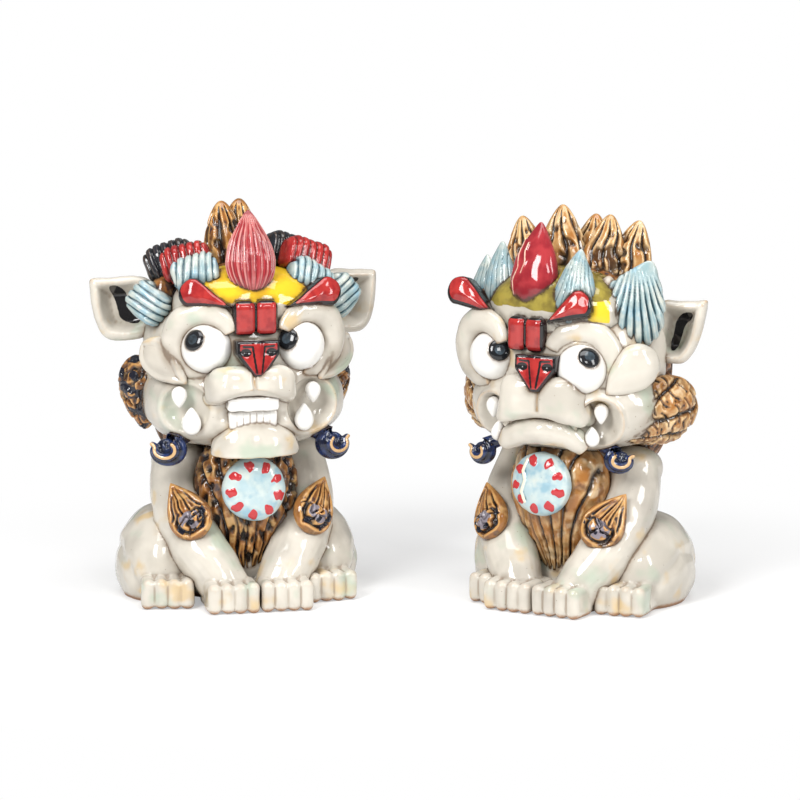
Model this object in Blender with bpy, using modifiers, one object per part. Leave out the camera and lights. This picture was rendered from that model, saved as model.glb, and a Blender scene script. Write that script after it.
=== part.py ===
"""A pair of hand-built, glazed stoneware guardian lions, seated, looking in towards each other.

Each lion is a hollow pinched body with a hollow head luted on top. Everything else is a lump of
clay that was pressed on: legs with cut toes, haunches, muzzle, jaw, eyes, hoods, brows, ears,
crown tufts, mane, bib, medallion, curls and tail. Every lump is an object of its own, trimmed to
the lumps that carry it with the hair-line gap SEAT_GAP.

Metres, +Z up. Both lions face -Y and are then turned a little towards each other. The origin is
on the table, midway between them. A lion's own left is at +X.
"""

import math

import bmesh
import bpy
from mathutils import Matrix, Vector
from mathutils.bvhtree import BVHTree
from mathutils.kdtree import KDTree

# Where the pair stands
LIONS_APART = 0.124
LION_A_TURN = math.radians(13)
LION_B_TURN = math.radians(-30)
LION_B_FORWARD = 0.006
LION_B_MOUTH_TURN = math.radians(9)
LION_B_EYE_DROP = 0.0022
LION_B_NOSE_DROP = 0.0047

# How the lumps are built and joined
SEAT_GAP = 0.0003
WALL = 0.0055
NECK_OPENING = 0.022
WELD = 0.00001
CUT_WELD = 0.0000005
CORNER_REACH = 0.000003
CORNERS_DOUBTFUL = 4
ATTEMPTS = 10
NUDGE_STEP = 0.00002

# Body
TORSO_WIDTH = 0.046
TORSO_DEPTH = 0.044
TORSO_HEIGHT = 0.056
TORSO_SETBACK = 0.005
SHOULDER_SPREAD = 0.045
SHOULDER_HEIGHT = 0.043
LEG_RADIUS = 0.0108
WRIST_RADIUS = 0.0085
WRIST_HEIGHT = 0.011
PAW_WIDTH = 0.0190
PAW_LENGTH = 0.022
PAW_HEIGHT = 0.0113
PAW_CHAMFER = 0.0016
PAW_GAP = 0.0006
TOES = 4
TOE_BULGE = 0.0021
ELBOW_OUT = 1.22
FRONT_REACH = 0.042
HAUNCH_WIDTH = 0.031
HAUNCH_LENGTH = 0.050
HAUNCH_HEIGHT = 0.033
HAUNCH_OUT = 0.0280
HAUNCH_SETBACK = 0.004
HIND_PAW_OUT = 0.0305
HIND_REACH = 0.029
LION_A_LEFT_PAW_OUT = 0.0280
LION_B_RIGHT_HAUNCH_OUT = 0.0235
LION_B_RIGHT_PAW_OUT = 0.0165
LION_B_RIGHT_REACH = 0.0350
LION_B_PAWS_ASIDE = 0.0028
TAIL_RADIUS = 0.0062
TAIL_HEIGHT = 0.046
TAIL_SWING = 0.025

# Chest
BIB_WIDTH = 0.044
BIB_LENGTH = 0.058
BIB_DEPTH = 0.031
BIB_SETFORWARD = 0.013
BIB_FLUTES = 8
MEDALLION_DIAMETER = 0.0233
MEDALLION_THICKNESS = 0.0065
MEDALLION_RIM = 0.0022
MEDALLION_LEAN = math.radians(4)
ELBOW_TUFT_LENGTH = 0.0235
ELBOW_TUFT_WIDTH = 0.0190
ELBOW_TUFT_THICKNESS = 0.0100
ELBOW_TUFT_FORWARD = 0.0223

# Head
HEAD_WIDTH = 0.063
HEAD_DEPTH = 0.056
HEAD_HEIGHT = 0.068
HEAD_SETBACK = 0.004
HEAD_BLUNTNESS = 2.6
HEAD_LOCKS = 14
NAPE_LOCKS = 10
COMB_DEPTH = 0.045
NECK_OVERLAP = 0.002
NAPE_WIDTH = 0.060
NAPE_DEPTH = 0.042
NAPE_HEIGHT = 0.056
NAPE_DROP = 0.020
NAPE_SETBACK = 0.011
FOREHEAD_WIDTH = 0.054
FOREHEAD_HEIGHT = 0.032
FOREHEAD_DEPTH = 0.034
FOREHEAD_RISE = 0.0190
FOREHEAD_FORWARD = 0.018
FOREHEAD_BLUNTNESS = 2.3
FLAME_LENGTH = 0.032
FLAME_WIDTH = 0.0185
FLAME_THICKNESS = 0.0130

# Face
FACE_WIDTH = 0.071
FACE_DEPTH = 0.060
FACE_HEIGHT = 0.056
FACE_FORWARD = 0.006
FACE_RISE = 0.002
FACE_REAR = 0.004
FACE_BLUNTNESS = 2.3
JAW_WIDTH = 0.073
JAW_DEPTH = 0.052
JAW_HEIGHT = 0.0345
JAW_DROP = 0.0145
JAW_FORWARD = 0.0115
JAW_BLUNTNESS = 2.5
OPEN_CORNER = Vector((0.0165, 0.0060, 0.0190))
CLOSED_CORNER = Vector((0.0130, 0.0054, 0.0195))
OPEN_CORNERS_APART = 0.0470
CLOSED_CORNERS_APART = 0.0405
CLOSED_CORNERS_ASIDE = -0.0015
CORNER_TURN = math.radians(36)
FANG_ACROSS = 0.40
FANG_LONG = 0.50
FANG_ASIDE = 0.14
FANG_UP = 0.22
EYE_DIAMETER = 0.0186
EYES_APART = 0.0372
EYE_RISE = 0.0062
EYE_STANDOUT = 0.0002
PUPIL_DIAMETER = 0.0071
PUPIL_THICKNESS = 0.0030
PUPIL_STANDOUT = 0.0005
HOOD_RADIUS = 0.0118
HOOD_ROLL = 0.0047
HOOD_TURN = math.radians(22)
HOOD_FROM = math.radians(128)
HOOD_TO = math.radians(-92)
LEAF_LENGTH = 0.0240
LEAF_WIDTH = 0.0125
LEAF_THICKNESS = 0.0090
LEAVES_APART = 0.0610
LEAF_DROP = 0.0085
LEAF_BLUNTNESS = 2.2
BROW_LENGTH = 0.0225
LION_B_LEFT_BROW = 0.0180
BROW_WIDTH = 0.0105
BROW_THICKNESS = 0.0100
BROW_CHAMFER = 0.0012
BRIDGE_WIDTH = 0.0142
BRIDGE_HEIGHT = 0.0120
BRIDGE_DEPTH = 0.0100
BRIDGE_RISE = 0.0175
BRIDGE_STANDOUT = 0.0040
BRIDGE_ROUNDING = 0.0022
NOSE_WIDTH = 0.0162
NOSE_HEIGHT = 0.0140
NOSE_DEPTH = 0.0160
NOSE_RISE = 0.0046
NOSE_STANDOUT = 0.0028
NOSE_TIP = 0.0028
NOSE_CHAMFER = 0.0014
OPEN_MUZZLE = Vector((0.0302, 0.0220, 0.0114))
OPEN_MUZZLE_ASIDE = -0.0018
CLOSED_MUZZLE = Vector((0.0330, 0.0220, 0.0200))
MUZZLE_STANDOUT = 0.0110
MUZZLE_TURN = math.radians(10)
UPPER_TEETH = Vector((0.0182, 0.0180, 0.0062))
UPPER_TEETH_BACK = 0.0012
TOOTH_ROUNDING = 0.0011
LOWER_TEETH = Vector((0.0185, 0.0085, 0.0060))
LOWER_TEETH_COUNT = 8
LOWER_TOOTH_BULGE = 0.0009
LIP_MOON = Vector((0.0320, 0.0190, 0.0245))
LIP_CUT = 0.0013
LIP_ROLL_RADIUS = 0.0040
LIP_ROLL_WIDTH = 0.0380
LIP_ROLL_DROP = 0.0075
LIP_ROLL_SAG = 0.0050
LIP_ROLL_SWEEP = 0.0060
EAR_WIDTH = 0.0225
EAR_HEIGHT = 0.0220
EAR_THICKNESS = 0.0125
EAR_RIM = 0.0034
EAR_CHAMFER = 0.0015
EARS_APART = 0.0790
CURL_RADIUS = 0.0043
CURL_ROLL = 0.0040
CURL_ROOT = Vector((0.0075, 0.0040, 0.0050))
CURL_FORWARD = 0.0260

# Crown and mane
PETAL_LENGTH = 0.0310
PETAL_WIDTH = 0.0190
PETAL_THICKNESS = 0.0130
PETAL_FLUTES = 9
PETAL_LEAN = math.radians(14)
FLUTE_DEPTH = 0.10
TUFT_ROOT_RADIUS = 0.0042
CHEEK_MANE_A = Vector((0.0270, 0.0190, 0.0370))
CHEEK_MANE_B = Vector((0.0290, 0.0190, 0.0420))
SIDE_PAD = Vector((0.0200, 0.0150, 0.0200))
TOP_PAD = Vector((0.0208, 0.0132, 0.0158))
FRONT_PAD = Vector((0.0180, 0.0120, 0.0135))
GROOVED_PETAL = Vector((0.0190, 0.0120, 0.0270))
SHELL_PETAL = Vector((0.0260, 0.0140, 0.0330))
FAR_PETAL = Vector((0.0135, 0.0100, 0.0235))
PAD_POINT = 0.30
SIDE_PAD_POINT = 0.35
PETAL_POINT = 0.70

TORSO_CENTRE_LINE = Vector((0, TORSO_SETBACK, 0))
HEAD_CENTRE = Vector((0, HEAD_SETBACK, TORSO_HEIGHT - NECK_OVERLAP + HEAD_HEIGHT / 2))
HEAD_RADII = Vector((HEAD_WIDTH, HEAD_DEPTH, HEAD_HEIGHT)) / 2
FACE_CENTRE = HEAD_CENTRE + Vector((0, -FACE_FORWARD, FACE_RISE))
FACE_RADII = Vector((FACE_WIDTH, FACE_DEPTH, FACE_HEIGHT)) / 2
FOREHEAD_FRONT = HEAD_SETBACK - FOREHEAD_FORWARD - FOREHEAD_DEPTH / 2

# Facets round a round lump, and along it
FINE = 16
MEDIUM = 12
COARSE = 8

GLAZES = {
    "ivory_glaze": (0.70, 0.66, 0.59, 0.12),
    "white_glaze": (0.90, 0.89, 0.86, 0.08),
    "red_glaze": (0.60, 0.06, 0.05, 0.12),
    "rose_glaze": (0.62, 0.10, 0.16, 0.12),
    "sky_glaze": (0.50, 0.66, 0.72, 0.15),
    "amber_glaze": (0.42, 0.22, 0.08, 0.18),
    "cobalt_glaze": (0.04, 0.06, 0.16, 0.10),
}


def clear_scene():
    """Start from an empty file."""
    for leftover in list(bpy.data.objects):
        bpy.data.objects.remove(leftover)


def collection(name, parent=None):
    """A new collection, inside another one if that is given."""
    made = bpy.data.collections.new(name)
    (parent or bpy.context.scene.collection).children.link(made)
    return made


def glaze(name):
    """A Principled glaze in one of the colours of GLAZES, made once."""
    if name in bpy.data.materials:
        return bpy.data.materials[name]
    red, green, blue, roughness = GLAZES[name]
    material = bpy.data.materials.new(name)
    material.use_nodes = True
    shader = material.node_tree.nodes["Principled BSDF"]
    shader.inputs["Base Color"].default_value = (red, green, blue, 1)
    shader.inputs["Roughness"].default_value = roughness
    shader.inputs["Metallic"].default_value = 0
    return material


# Shapes, each a bare mesh about its own middle with its long axis on Z and its face at -Y


def mesh_from(bm):
    """Turn a bmesh into a mesh with its faces pointing out."""
    bmesh.ops.recalc_face_normals(bm, faces=bm.faces)
    mesh = bpy.data.meshes.new("lump")
    bm.to_mesh(mesh)
    bm.free()
    return mesh


def groove_at(vert, around):
    """1 where a point lies on every second meridian of a ball, and 0 on the meridians between."""
    return round(math.atan2(vert.co.y, vert.co.x) / (2 * math.pi / around)) % 2


def ellipsoid(size, segments=MEDIUM, rings=COARSE, bluntness=2.0, comb=0.0):
    """A ball of clay pressed to three different widths, squarer than a ball if bluntness is over 2.

    Combed hair is every second meridian pulled in by that share of the ball.
    """
    bm = bmesh.new()
    bmesh.ops.create_uvsphere(bm, u_segments=segments, v_segments=rings, radius=0.5)
    for vert in bm.verts:
        vert.co /= sum(abs(2 * axis) ** bluntness for axis in vert.co) ** (1 / bluntness)
        radial = 1 - groove_at(vert, segments) * comb
        vert.co.x *= radial
        vert.co.y *= radial
    bmesh.ops.scale(bm, vec=size, verts=bm.verts)
    return mesh_from(bm)


def drop(size, point=0.75, flutes=0, flute_depth=0.0, rings=8, segments=12):
    """A teardrop: round at the bottom, pinched towards a point at the top, with grooves along it.

    Flutes are cut by pulling in every second meridian, so they need no more facets.
    """
    around = 2 * flutes if flutes else segments
    bm = bmesh.new()
    bmesh.ops.create_uvsphere(bm, u_segments=around, v_segments=rings, radius=0.5)
    for vert in bm.verts:
        rise = vert.co.z + 0.5
        pinch = 1 - point * rise ** 2
        groove = groove_at(vert, around) if flutes else 0
        radial = pinch * (1 - groove * flute_depth)
        vert.co.x *= radial
        vert.co.y *= radial
    bmesh.ops.scale(bm, vec=size, verts=bm.verts)
    return mesh_from(bm)


def pad(size, rounding, segments=2):
    """A slab with rolled edges."""
    bm = bmesh.new()
    bmesh.ops.create_cube(bm, size=1)
    bmesh.ops.scale(bm, vec=size, verts=bm.verts)
    bmesh.ops.bevel(
        bm, geom=bm.edges, offset=rounding, segments=segments, profile=0.5, affect="EDGES", material=-1
    )
    return mesh_from(bm)


def mesh_of(source):
    """The evaluated mesh of an object, with a curve's loose caps welded on. The object is removed."""
    bpy.context.view_layer.update()
    evaluated = source.evaluated_get(bpy.context.evaluated_depsgraph_get())
    bm = bmesh.new()
    made = bpy.data.meshes.new_from_object(evaluated)
    bm.from_mesh(made)
    bpy.data.meshes.remove(made)
    bpy.data.objects.remove(source)
    bmesh.ops.remove_doubles(bm, verts=bm.verts, dist=WELD)
    return mesh_from(bm)


def roll(path, radii, sides_resolution=2):
    """A rolled coil of clay along a path, thicker or thinner from point to point."""
    curve = bpy.data.curves.new("coil", "CURVE")
    curve.dimensions = "3D"
    curve.bevel_depth = 1
    curve.bevel_resolution = sides_resolution
    curve.use_fill_caps = True
    spline = curve.splines.new("POLY")
    spline.points.add(len(path) - 1)
    for point, place, radius in zip(spline.points, path, radii):
        point.co = (*place, 1)
        point.radius = radius
    coil = bpy.data.objects.new("coil", curve)
    bpy.context.scene.collection.objects.link(coil)
    return mesh_of(coil)


def slab(outline, thickness, chamfer):
    """A flat outline, given as (x, y) points, cut from a slab that lies in XY, with softened edges."""
    curve = bpy.data.curves.new("outline", "CURVE")
    curve.dimensions = "2D"
    curve.fill_mode = "BOTH"
    curve.extrude = thickness / 2 - chamfer
    curve.bevel_depth = chamfer
    curve.bevel_resolution = 0
    curve.offset = -chamfer
    spline = curve.splines.new("POLY")
    spline.points.add(len(outline) - 1)
    for point, (x, y) in zip(spline.points, outline):
        point.co = (x, y, 0, 1)
    spline.use_cyclic_u = True
    cut = bpy.data.objects.new("outline", curve)
    bpy.context.scene.collection.objects.link(cut)
    return mesh_of(cut)


def turned(profile, steps):
    """An open turned surface from (radius, height) points that run down its outer side."""
    mesh = bpy.data.meshes.new("profile")
    points = [(radius, 0, height) for radius, height in profile]
    edges = [(i, i + 1) for i in range(len(points) - 1)]
    mesh.from_pydata(points, edges, [])
    turning = bpy.data.objects.new("turning", mesh)
    bpy.context.scene.collection.objects.link(turning)
    screw = turning.modifiers.new("turn", "SCREW")
    screw.steps = steps
    screw.render_steps = steps
    screw.use_merge_vertices = True
    screw.merge_threshold = WELD
    return turning


def scalloped(width, length, lobes, bulge, arc_points=3):
    """An outline with a straight back and a front of round lobes, as (x, y) with the front at -Y."""
    lobe = width / lobes
    points = []
    for number in range(lobes):
        centre = -width / 2 + lobe * (number + 0.5)
        for step in range(arc_points + 1):
            if step == 0 and number > 0:
                continue
            angle = math.pi * step / arc_points
            x = centre - lobe / 2 * math.cos(angle)
            points.append((x, -length / 2 + bulge - bulge * math.sin(angle)))
    back = length / 2
    points += [(width / 2, back - bulge), (width / 2 - bulge, back)]
    points += [(-width / 2 + bulge, back), (-width / 2, back - bulge)]
    return points


def arc(radius, start, end, count):
    """Points of a circle in the XZ plane from one angle to another, counted from +X towards +Z."""
    for i in range(count):
        angle = start + (end - start) * i / (count - 1)
        yield Vector((radius * math.cos(angle), 0, radius * math.sin(angle)))


def bezier(start, first, second, end, count):
    """Points along a cubic curve."""
    for i in range(count):
        t = i / (count - 1)
        s = 1 - t
        yield start * s ** 3 + first * 3 * s * s * t + second * 3 * s * t * t + end * t ** 3


def swell(count, base, middle, tip):
    """Radii that grow from base to middle and shrink to tip."""
    for i in range(count):
        t = i / (count - 1)
        yield base * (1 - t) ** 2 + middle * 2 * t * (1 - t) * 2 + tip * t ** 2


def facing(azimuth=0.0, lean=0.0, tilt=0.0):
    """Turn a lump: its face goes round by azimuth, its top tips back by lean and sideways by tilt."""
    turn = Matrix.Rotation(azimuth, 4, "Z")
    back = Matrix.Rotation(-lean, 4, "X")
    return turn @ back @ Matrix.Rotation(tilt, 4, "Y")


def on_face(x, rise, lift=0.0):
    """A point on the front of the face, by its place across and above the face's middle."""
    inside = 1 - (x / FACE_RADII.x) ** 2 - (rise / FACE_RADII.z) ** 2
    depth = FACE_RADII.y * math.sqrt(max(inside, 0.0))
    return FACE_CENTRE + Vector((x, -depth - lift, rise))


def by_head(across, back, up):
    """A point by the head, counted from its middle in half widths, half depths and half heights."""
    return HEAD_CENTRE + Vector((across, back, up)) * HEAD_RADII


class Lion:
    """One lion: its pieces hang on an empty that stands on the table and is turned."""

    def __init__(self, prefix, place, turn, parts, scraps):
        self.prefix = prefix
        self.parts = parts
        self.scraps = scraps
        self.pieces = []
        self.rooms = {}
        self.mouth = Matrix.Identity(4)
        self.eye_drop = 0.0
        self.nose_drop = 0.0
        self.stand = bpy.data.objects.new(prefix + "_stand", None)
        self.stand.location = place
        self.stand.rotation_euler = (0, 0, turn)
        parts.objects.link(self.stand)

    def piece(self, name, mesh, place=Matrix.Identity(4), glaze_name="ivory_glaze"):
        """Add a lump at its place in the lion's own frame."""
        made = bpy.data.objects.new(f"{self.prefix}_{name}", mesh)
        mesh.materials.clear()
        mesh.materials.append(glaze(glaze_name))
        self.parts.objects.link(made)
        made.parent = self.stand
        made.matrix_local = place
        self.rooms[made.name] = [self.tool(swollen(mesh), place)]
        return made

    def tool(self, mesh, place=Matrix.Identity(4)):
        """A helper shape in the lion's frame, kept out of the render."""
        made = bpy.data.objects.new(f"{self.prefix}_tool", mesh)
        self.scraps.objects.link(made)
        made.parent = self.stand
        made.matrix_local = place
        made.hide_render = True
        made.display_type = "WIRE"
        return made

    def join(self, piece, *lumps):
        """Press more clay onto a piece, so that they are one body. Each lump is a mesh and its place."""
        for mesh, place in lumps:
            self.rooms[piece.name].append(self.tool(swollen(mesh), place))
            tool = self.tool(mesh, place)
            combine(piece, "UNION", tool)
            bpy.data.objects.remove(tool)

    def cut(self, piece, *shapes):
        """Cut shapes out of a piece. Each shape is a mesh and its place."""
        for mesh, place in shapes:
            tool = self.tool(mesh, place)
            combine(piece, "DIFFERENCE", tool)
            bpy.data.objects.remove(tool)

    def seat(self, piece, flat_base=False):
        """Trim a new piece to every earlier one that it meets, and to the table if it stands there."""
        bpy.context.view_layer.update()
        for other in self.pieces:
            for room in self.rooms[other.name]:
                if boxes_meet(piece, room):
                    combine(piece, "DIFFERENCE", room)
        if flat_base:
            down = piece.matrix_local.inverted()
            slice_off(piece.data, down @ Vector((0, 0, 0)), down.to_3x3() @ Vector((0, 0, -1)))
        smooth(piece)
        self.pieces.append(piece)
        return piece


def swollen(mesh):
    """A copy of a lump grown by the seat gap: the room that it needs."""
    grown = mesh.copy()
    for vert, plain in zip(grown.vertices, mesh.vertices):
        vert.co = plain.co + plain.normal * SEAT_GAP
    return grown


def combine(piece, operation, tool):
    """Join a tool to a piece, or cut it out, and keep the main body of what comes of it.

    Where an edge of one lies exactly in a face of the other the result can be torn, so the tool is
    then moved by a few hundredths of a millimetre.
    """
    rest = tool.location.copy()
    for attempt in range(ATTEMPTS):
        tool.location = rest + Vector((1.0, 0.7, 0.4)) * (attempt // 2) * NUDGE_STEP
        change = piece.modifiers.new("combine", "BOOLEAN")
        change.operation = operation
        change.object = tool
        change.use_self = attempt % 2 == 1
        bpy.context.view_layer.update()
        evaluated = piece.evaluated_get(bpy.context.evaluated_depsgraph_get())
        mesh = bpy.data.meshes.new_from_object(evaluated)
        piece.modifiers.clear()
        if is_sound(mesh, corners_to_keep(piece, operation, tool)):
            break
    tool.location = rest
    keep_largest_body(mesh)
    piece.data = mesh


def corners_to_keep(piece, operation, tool):
    """The corners that no cut or join of these two may lose: those outside the other one."""
    to_piece = piece.matrix_world.inverted() @ tool.matrix_world
    piece_points = [vert.co.copy() for vert in piece.data.vertices]
    tool_points = [to_piece @ vert.co for vert in tool.data.vertices]
    piece_skin = BVHTree.FromPolygons(piece_points, [face.vertices[:] for face in piece.data.polygons])
    tool_skin = BVHTree.FromPolygons(tool_points, [face.vertices[:] for face in tool.data.polygons])
    kept = [point for point in piece_points if is_clear_of(point, tool_skin)]
    if operation == "UNION":
        kept += [point for point in tool_points if is_clear_of(point, piece_skin)]
    return kept


def is_clear_of(point, skin):
    """Whether a point is outside a closed skin, and not just at it."""
    nearest, normal, _, distance = skin.find_nearest(point)
    return distance > NUDGE_STEP * 2 and (point - nearest).normalized().dot(normal) > 0.3


def is_sound(mesh, kept):
    """Whether a cut or join came out closed, with every corner that it should have kept."""
    bm = bmesh.new()
    bm.from_mesh(mesh)
    bmesh.ops.remove_doubles(bm, verts=bm.verts, dist=CUT_WELD)
    sound = bool(bm.faces) and all(edge.is_contiguous for edge in bm.edges)
    if sound:
        corners = KDTree(len(bm.verts))
        for number, vert in enumerate(bm.verts):
            corners.insert(vert.co, number)
        corners.balance()
        lost = sum(corners.find(point)[2] > CORNER_REACH for point in kept)
        sound = lost <= CORNERS_DOUBTFUL
    bm.free()
    return sound


def keep_largest_body(mesh):
    """Throw away the offcuts that a cut leaves beside the main body."""
    bm = bmesh.new()
    bm.from_mesh(mesh)
    bmesh.ops.remove_doubles(bm, verts=bm.verts, dist=CUT_WELD)
    left, bodies = set(bm.verts), []
    while left:
        body, edge = set(), [left.pop()]
        while edge:
            vert = edge.pop()
            body.add(vert)
            for link in vert.link_edges:
                other = link.other_vert(vert)
                if other in left:
                    left.discard(other)
                    edge.append(other)
        bodies.append(body)
    bodies.sort(key=lambda verts: box_volume([vert.co for vert in verts]))
    for body in bodies[:-1]:
        bmesh.ops.delete(bm, geom=list(body), context="VERTS")
    if bm.calc_volume(signed=True) < 0:
        bmesh.ops.reverse_faces(bm, faces=bm.faces)
    bmesh.ops.triangulate(bm, faces=bm.faces)
    bm.to_mesh(mesh)
    bm.free()


def box_volume(points):
    """The volume of the box round some points."""
    sides = [max(p[i] for p in points) - min(p[i] for p in points) for i in range(3)]
    return sides[0] * sides[1] * sides[2]


def boxes_meet(one, other):
    """Whether the upright boxes round two pieces touch."""
    corners = []
    for piece in (one, other):
        points = [piece.matrix_local @ vert.co for vert in piece.data.vertices]
        corners.append([(min(p[i] for p in points), max(p[i] for p in points)) for i in range(3)])
    first, second = corners
    return all(a[0] <= b[1] + SEAT_GAP and b[0] <= a[1] + SEAT_GAP for a, b in zip(first, second))


def slice_off(mesh, point, outward):
    """Slice off what lies beyond a plane, and close the slice."""
    bm = bmesh.new()
    bm.from_mesh(mesh)
    plane = bmesh.ops.bisect_plane(
        bm, geom=bm.verts[:] + bm.edges[:] + bm.faces[:], plane_co=point, plane_no=outward, clear_outer=True
    )
    rim = [edge for edge in plane["geom_cut"] if isinstance(edge, bmesh.types.BMEdge)]
    if rim:
        bmesh.ops.edgenet_fill(bm, edges=rim)
    bmesh.ops.recalc_face_normals(bm, faces=bm.faces)
    bm.to_mesh(mesh)
    bm.free()
    return mesh


def smooth(piece):
    """Shade a lump smooth, with its creases sharp."""
    piece.data.shade_smooth()
    piece.data.set_sharp_from_angle(angle=math.radians(50))


# The body


def make_torso(lion):
    """The hollow pinched body, open under its foot rim and open at the neck."""
    half = TORSO_WIDTH / 2
    neck = NECK_OPENING / 2
    profile = [
        (0, TORSO_HEIGHT),
        (neck * 1.1, TORSO_HEIGHT * 0.99),
        (half * 0.80, TORSO_HEIGHT * 0.875),
        (half * 0.94, TORSO_HEIGHT * 0.68),
        (half, TORSO_HEIGHT / 2),
        (half, 0),
        (0, 0),
    ]
    oval = Matrix.Diagonal((1, TORSO_DEPTH / TORSO_WIDTH, 1, 1))
    mesh = mesh_of(turned(profile, FINE))
    mesh.transform(oval)
    torso = lion.piece("torso", mesh, Matrix.Translation(TORSO_CENTRE_LINE))
    inner = half - WALL
    well = [
        (0, TORSO_HEIGHT + WALL),
        (neck, TORSO_HEIGHT + WALL),
        (neck, TORSO_HEIGHT - WALL * 1.4),
        (inner, TORSO_HEIGHT / 2),
        (inner, -WALL),
        (0, -WALL),
    ]
    hollow = mesh_of(turned(well, FINE - 4))
    hollow.transform(oval)
    lion.cut(torso, (hollow, Matrix.Translation(TORSO_CENTRE_LINE)))
    return lion.seat(torso)


def make_front_leg(lion, side, name, paws_aside):
    """A rolled leg from the shoulder to the wrist, with its paw and cut toes in front."""
    shoulder_top = SHOULDER_HEIGHT + LEG_RADIUS * 0.6
    shoulder = Vector((side * SHOULDER_SPREAD / 2, TORSO_SETBACK - LEG_RADIUS * 0.2, shoulder_top))
    paw_centre = side * (PAW_WIDTH + PAW_GAP) / 2 + paws_aside
    wrist_x = paw_centre + side * WRIST_RADIUS * 0.12
    wrist = Vector((wrist_x, -FRONT_REACH + PAW_LENGTH * 0.62, WRIST_HEIGHT * 0.55))
    elbow = Vector((shoulder.x * ELBOW_OUT, shoulder.y - LEG_RADIUS * 1.1, SHOULDER_HEIGHT * 0.62))
    knee_x = paw_centre + side * WRIST_RADIUS * 1.05
    knee = Vector((knee_x, wrist.y + WRIST_RADIUS * 0.7, WRIST_HEIGHT + WRIST_RADIUS * 1.05))
    path = list(bezier(shoulder, elbow, knee, wrist, 7))
    radii = list(swell(7, LEG_RADIUS * 0.86, LEG_RADIUS * 0.56, WRIST_RADIUS))
    leg = lion.piece(name, roll(path, radii, sides_resolution=3))
    lion.join(leg, (paw_mesh(), paw_place(paw_centre, FRONT_REACH)))
    return lion.seat(leg, flat_base=True)


def paw_mesh():
    """A block of clay with the toes pressed into its front."""
    return slab(scalloped(PAW_WIDTH, PAW_LENGTH, TOES, TOE_BULGE), PAW_HEIGHT, PAW_CHAMFER)


def paw_place(x, reach, azimuth=0.0):
    """Stand a paw on the table with its toes at that reach in front of the lion's middle."""
    return Matrix.Translation((x, PAW_LENGTH / 2 - reach, PAW_HEIGHT / 2)) @ facing(azimuth)


def make_haunch(lion, side, name, out, paw_out, reach):
    """A folded hind leg: the round thigh, with the foot in front of it."""
    thigh = ellipsoid((HAUNCH_WIDTH, HAUNCH_LENGTH, HAUNCH_HEIGHT * 1.2), MEDIUM, COARSE - 2)
    middle = Vector((side * out, HAUNCH_SETBACK, HAUNCH_HEIGHT * 0.4))
    lean_in = facing(azimuth=side * math.radians(6), tilt=-side * math.radians(12))
    haunch = lion.piece(name, thigh, Matrix.Translation(middle) @ lean_in)
    foot = paw_place(side * paw_out, reach, side * math.radians(8))
    lion.join(haunch, (paw_mesh(), foot))
    return lion.seat(haunch, flat_base=True)


def make_tail(lion):
    """A curled tail that rises up the middle of the back."""
    back = TORSO_SETBACK + TORSO_DEPTH / 2
    root = Vector((0, back, TAIL_RADIUS * 0.9))
    path = bezier(
        root,
        Vector((TAIL_SWING * 0.9, back + TAIL_RADIUS * 1.3, TAIL_HEIGHT * 0.35)),
        Vector((-TAIL_SWING * 1.1, back + TAIL_RADIUS, TAIL_HEIGHT * 0.62)),
        Vector((TAIL_SWING * 0.12, back + TAIL_RADIUS * 0.3, TAIL_HEIGHT)),
        9,
    )
    coil = roll(list(path), list(swell(9, TAIL_RADIUS, TAIL_RADIUS * 0.62, TAIL_RADIUS * 0.16)))
    tail = lion.piece("tail", coil, glaze_name="amber_glaze")
    return lion.seat(tail, flat_base=True)


def make_bib(lion):
    """The chest mane: a fluted wedge that narrows down between the legs."""
    wedge = drop((BIB_WIDTH, BIB_DEPTH, BIB_LENGTH), 0.7, BIB_FLUTES, FLUTE_DEPTH, rings=7)
    wedge.transform(facing(tilt=math.pi))
    place = Vector((0, -BIB_SETFORWARD, TORSO_HEIGHT - BIB_LENGTH * 0.36))
    bib = lion.piece("bib", wedge, Matrix.Translation(place), "amber_glaze")
    return lion.seat(bib)


def make_medallion(lion, drop_by):
    """A domed disc on the bib, just under the chin."""
    radius = MEDALLION_DIAMETER / 2
    dome = MEDALLION_THICKNESS
    profile = [(0, dome), (radius * 0.55, dome * 0.90), (radius * 0.88, dome * 0.66)]
    profile += [(radius, MEDALLION_RIM), (radius, 0), (0, 0)]
    mesh = mesh_of(turned(profile, MEDIUM + 4))
    mesh.transform(Matrix.Rotation(math.pi / 2, 4, "X"))
    back = -BIB_SETFORWARD - BIB_DEPTH / 2 + MEDALLION_RIM * 1.2
    place = Matrix.Translation((0, back, TORSO_HEIGHT - drop_by)) @ facing(lean=MEDALLION_LEAN)
    return lion.seat(lion.piece("medallion", mesh, place, "sky_glaze"))


def make_elbow_tuft(lion, side, name):
    """A teardrop of fur on the front of each leg, its point up and outwards."""
    size = (ELBOW_TUFT_WIDTH, ELBOW_TUFT_THICKNESS, ELBOW_TUFT_LENGTH)
    mesh = drop(size, 0.85, rings=6, segments=10)
    middle = (side * SHOULDER_SPREAD * 0.533, -ELBOW_TUFT_FORWARD, SHOULDER_HEIGHT * 0.82)
    turn = facing(side * math.radians(24), math.radians(20), side * math.radians(34))
    place = Matrix.Translation(middle) @ turn
    return lion.seat(lion.piece(name, mesh, place, "amber_glaze"))


# The head


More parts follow.
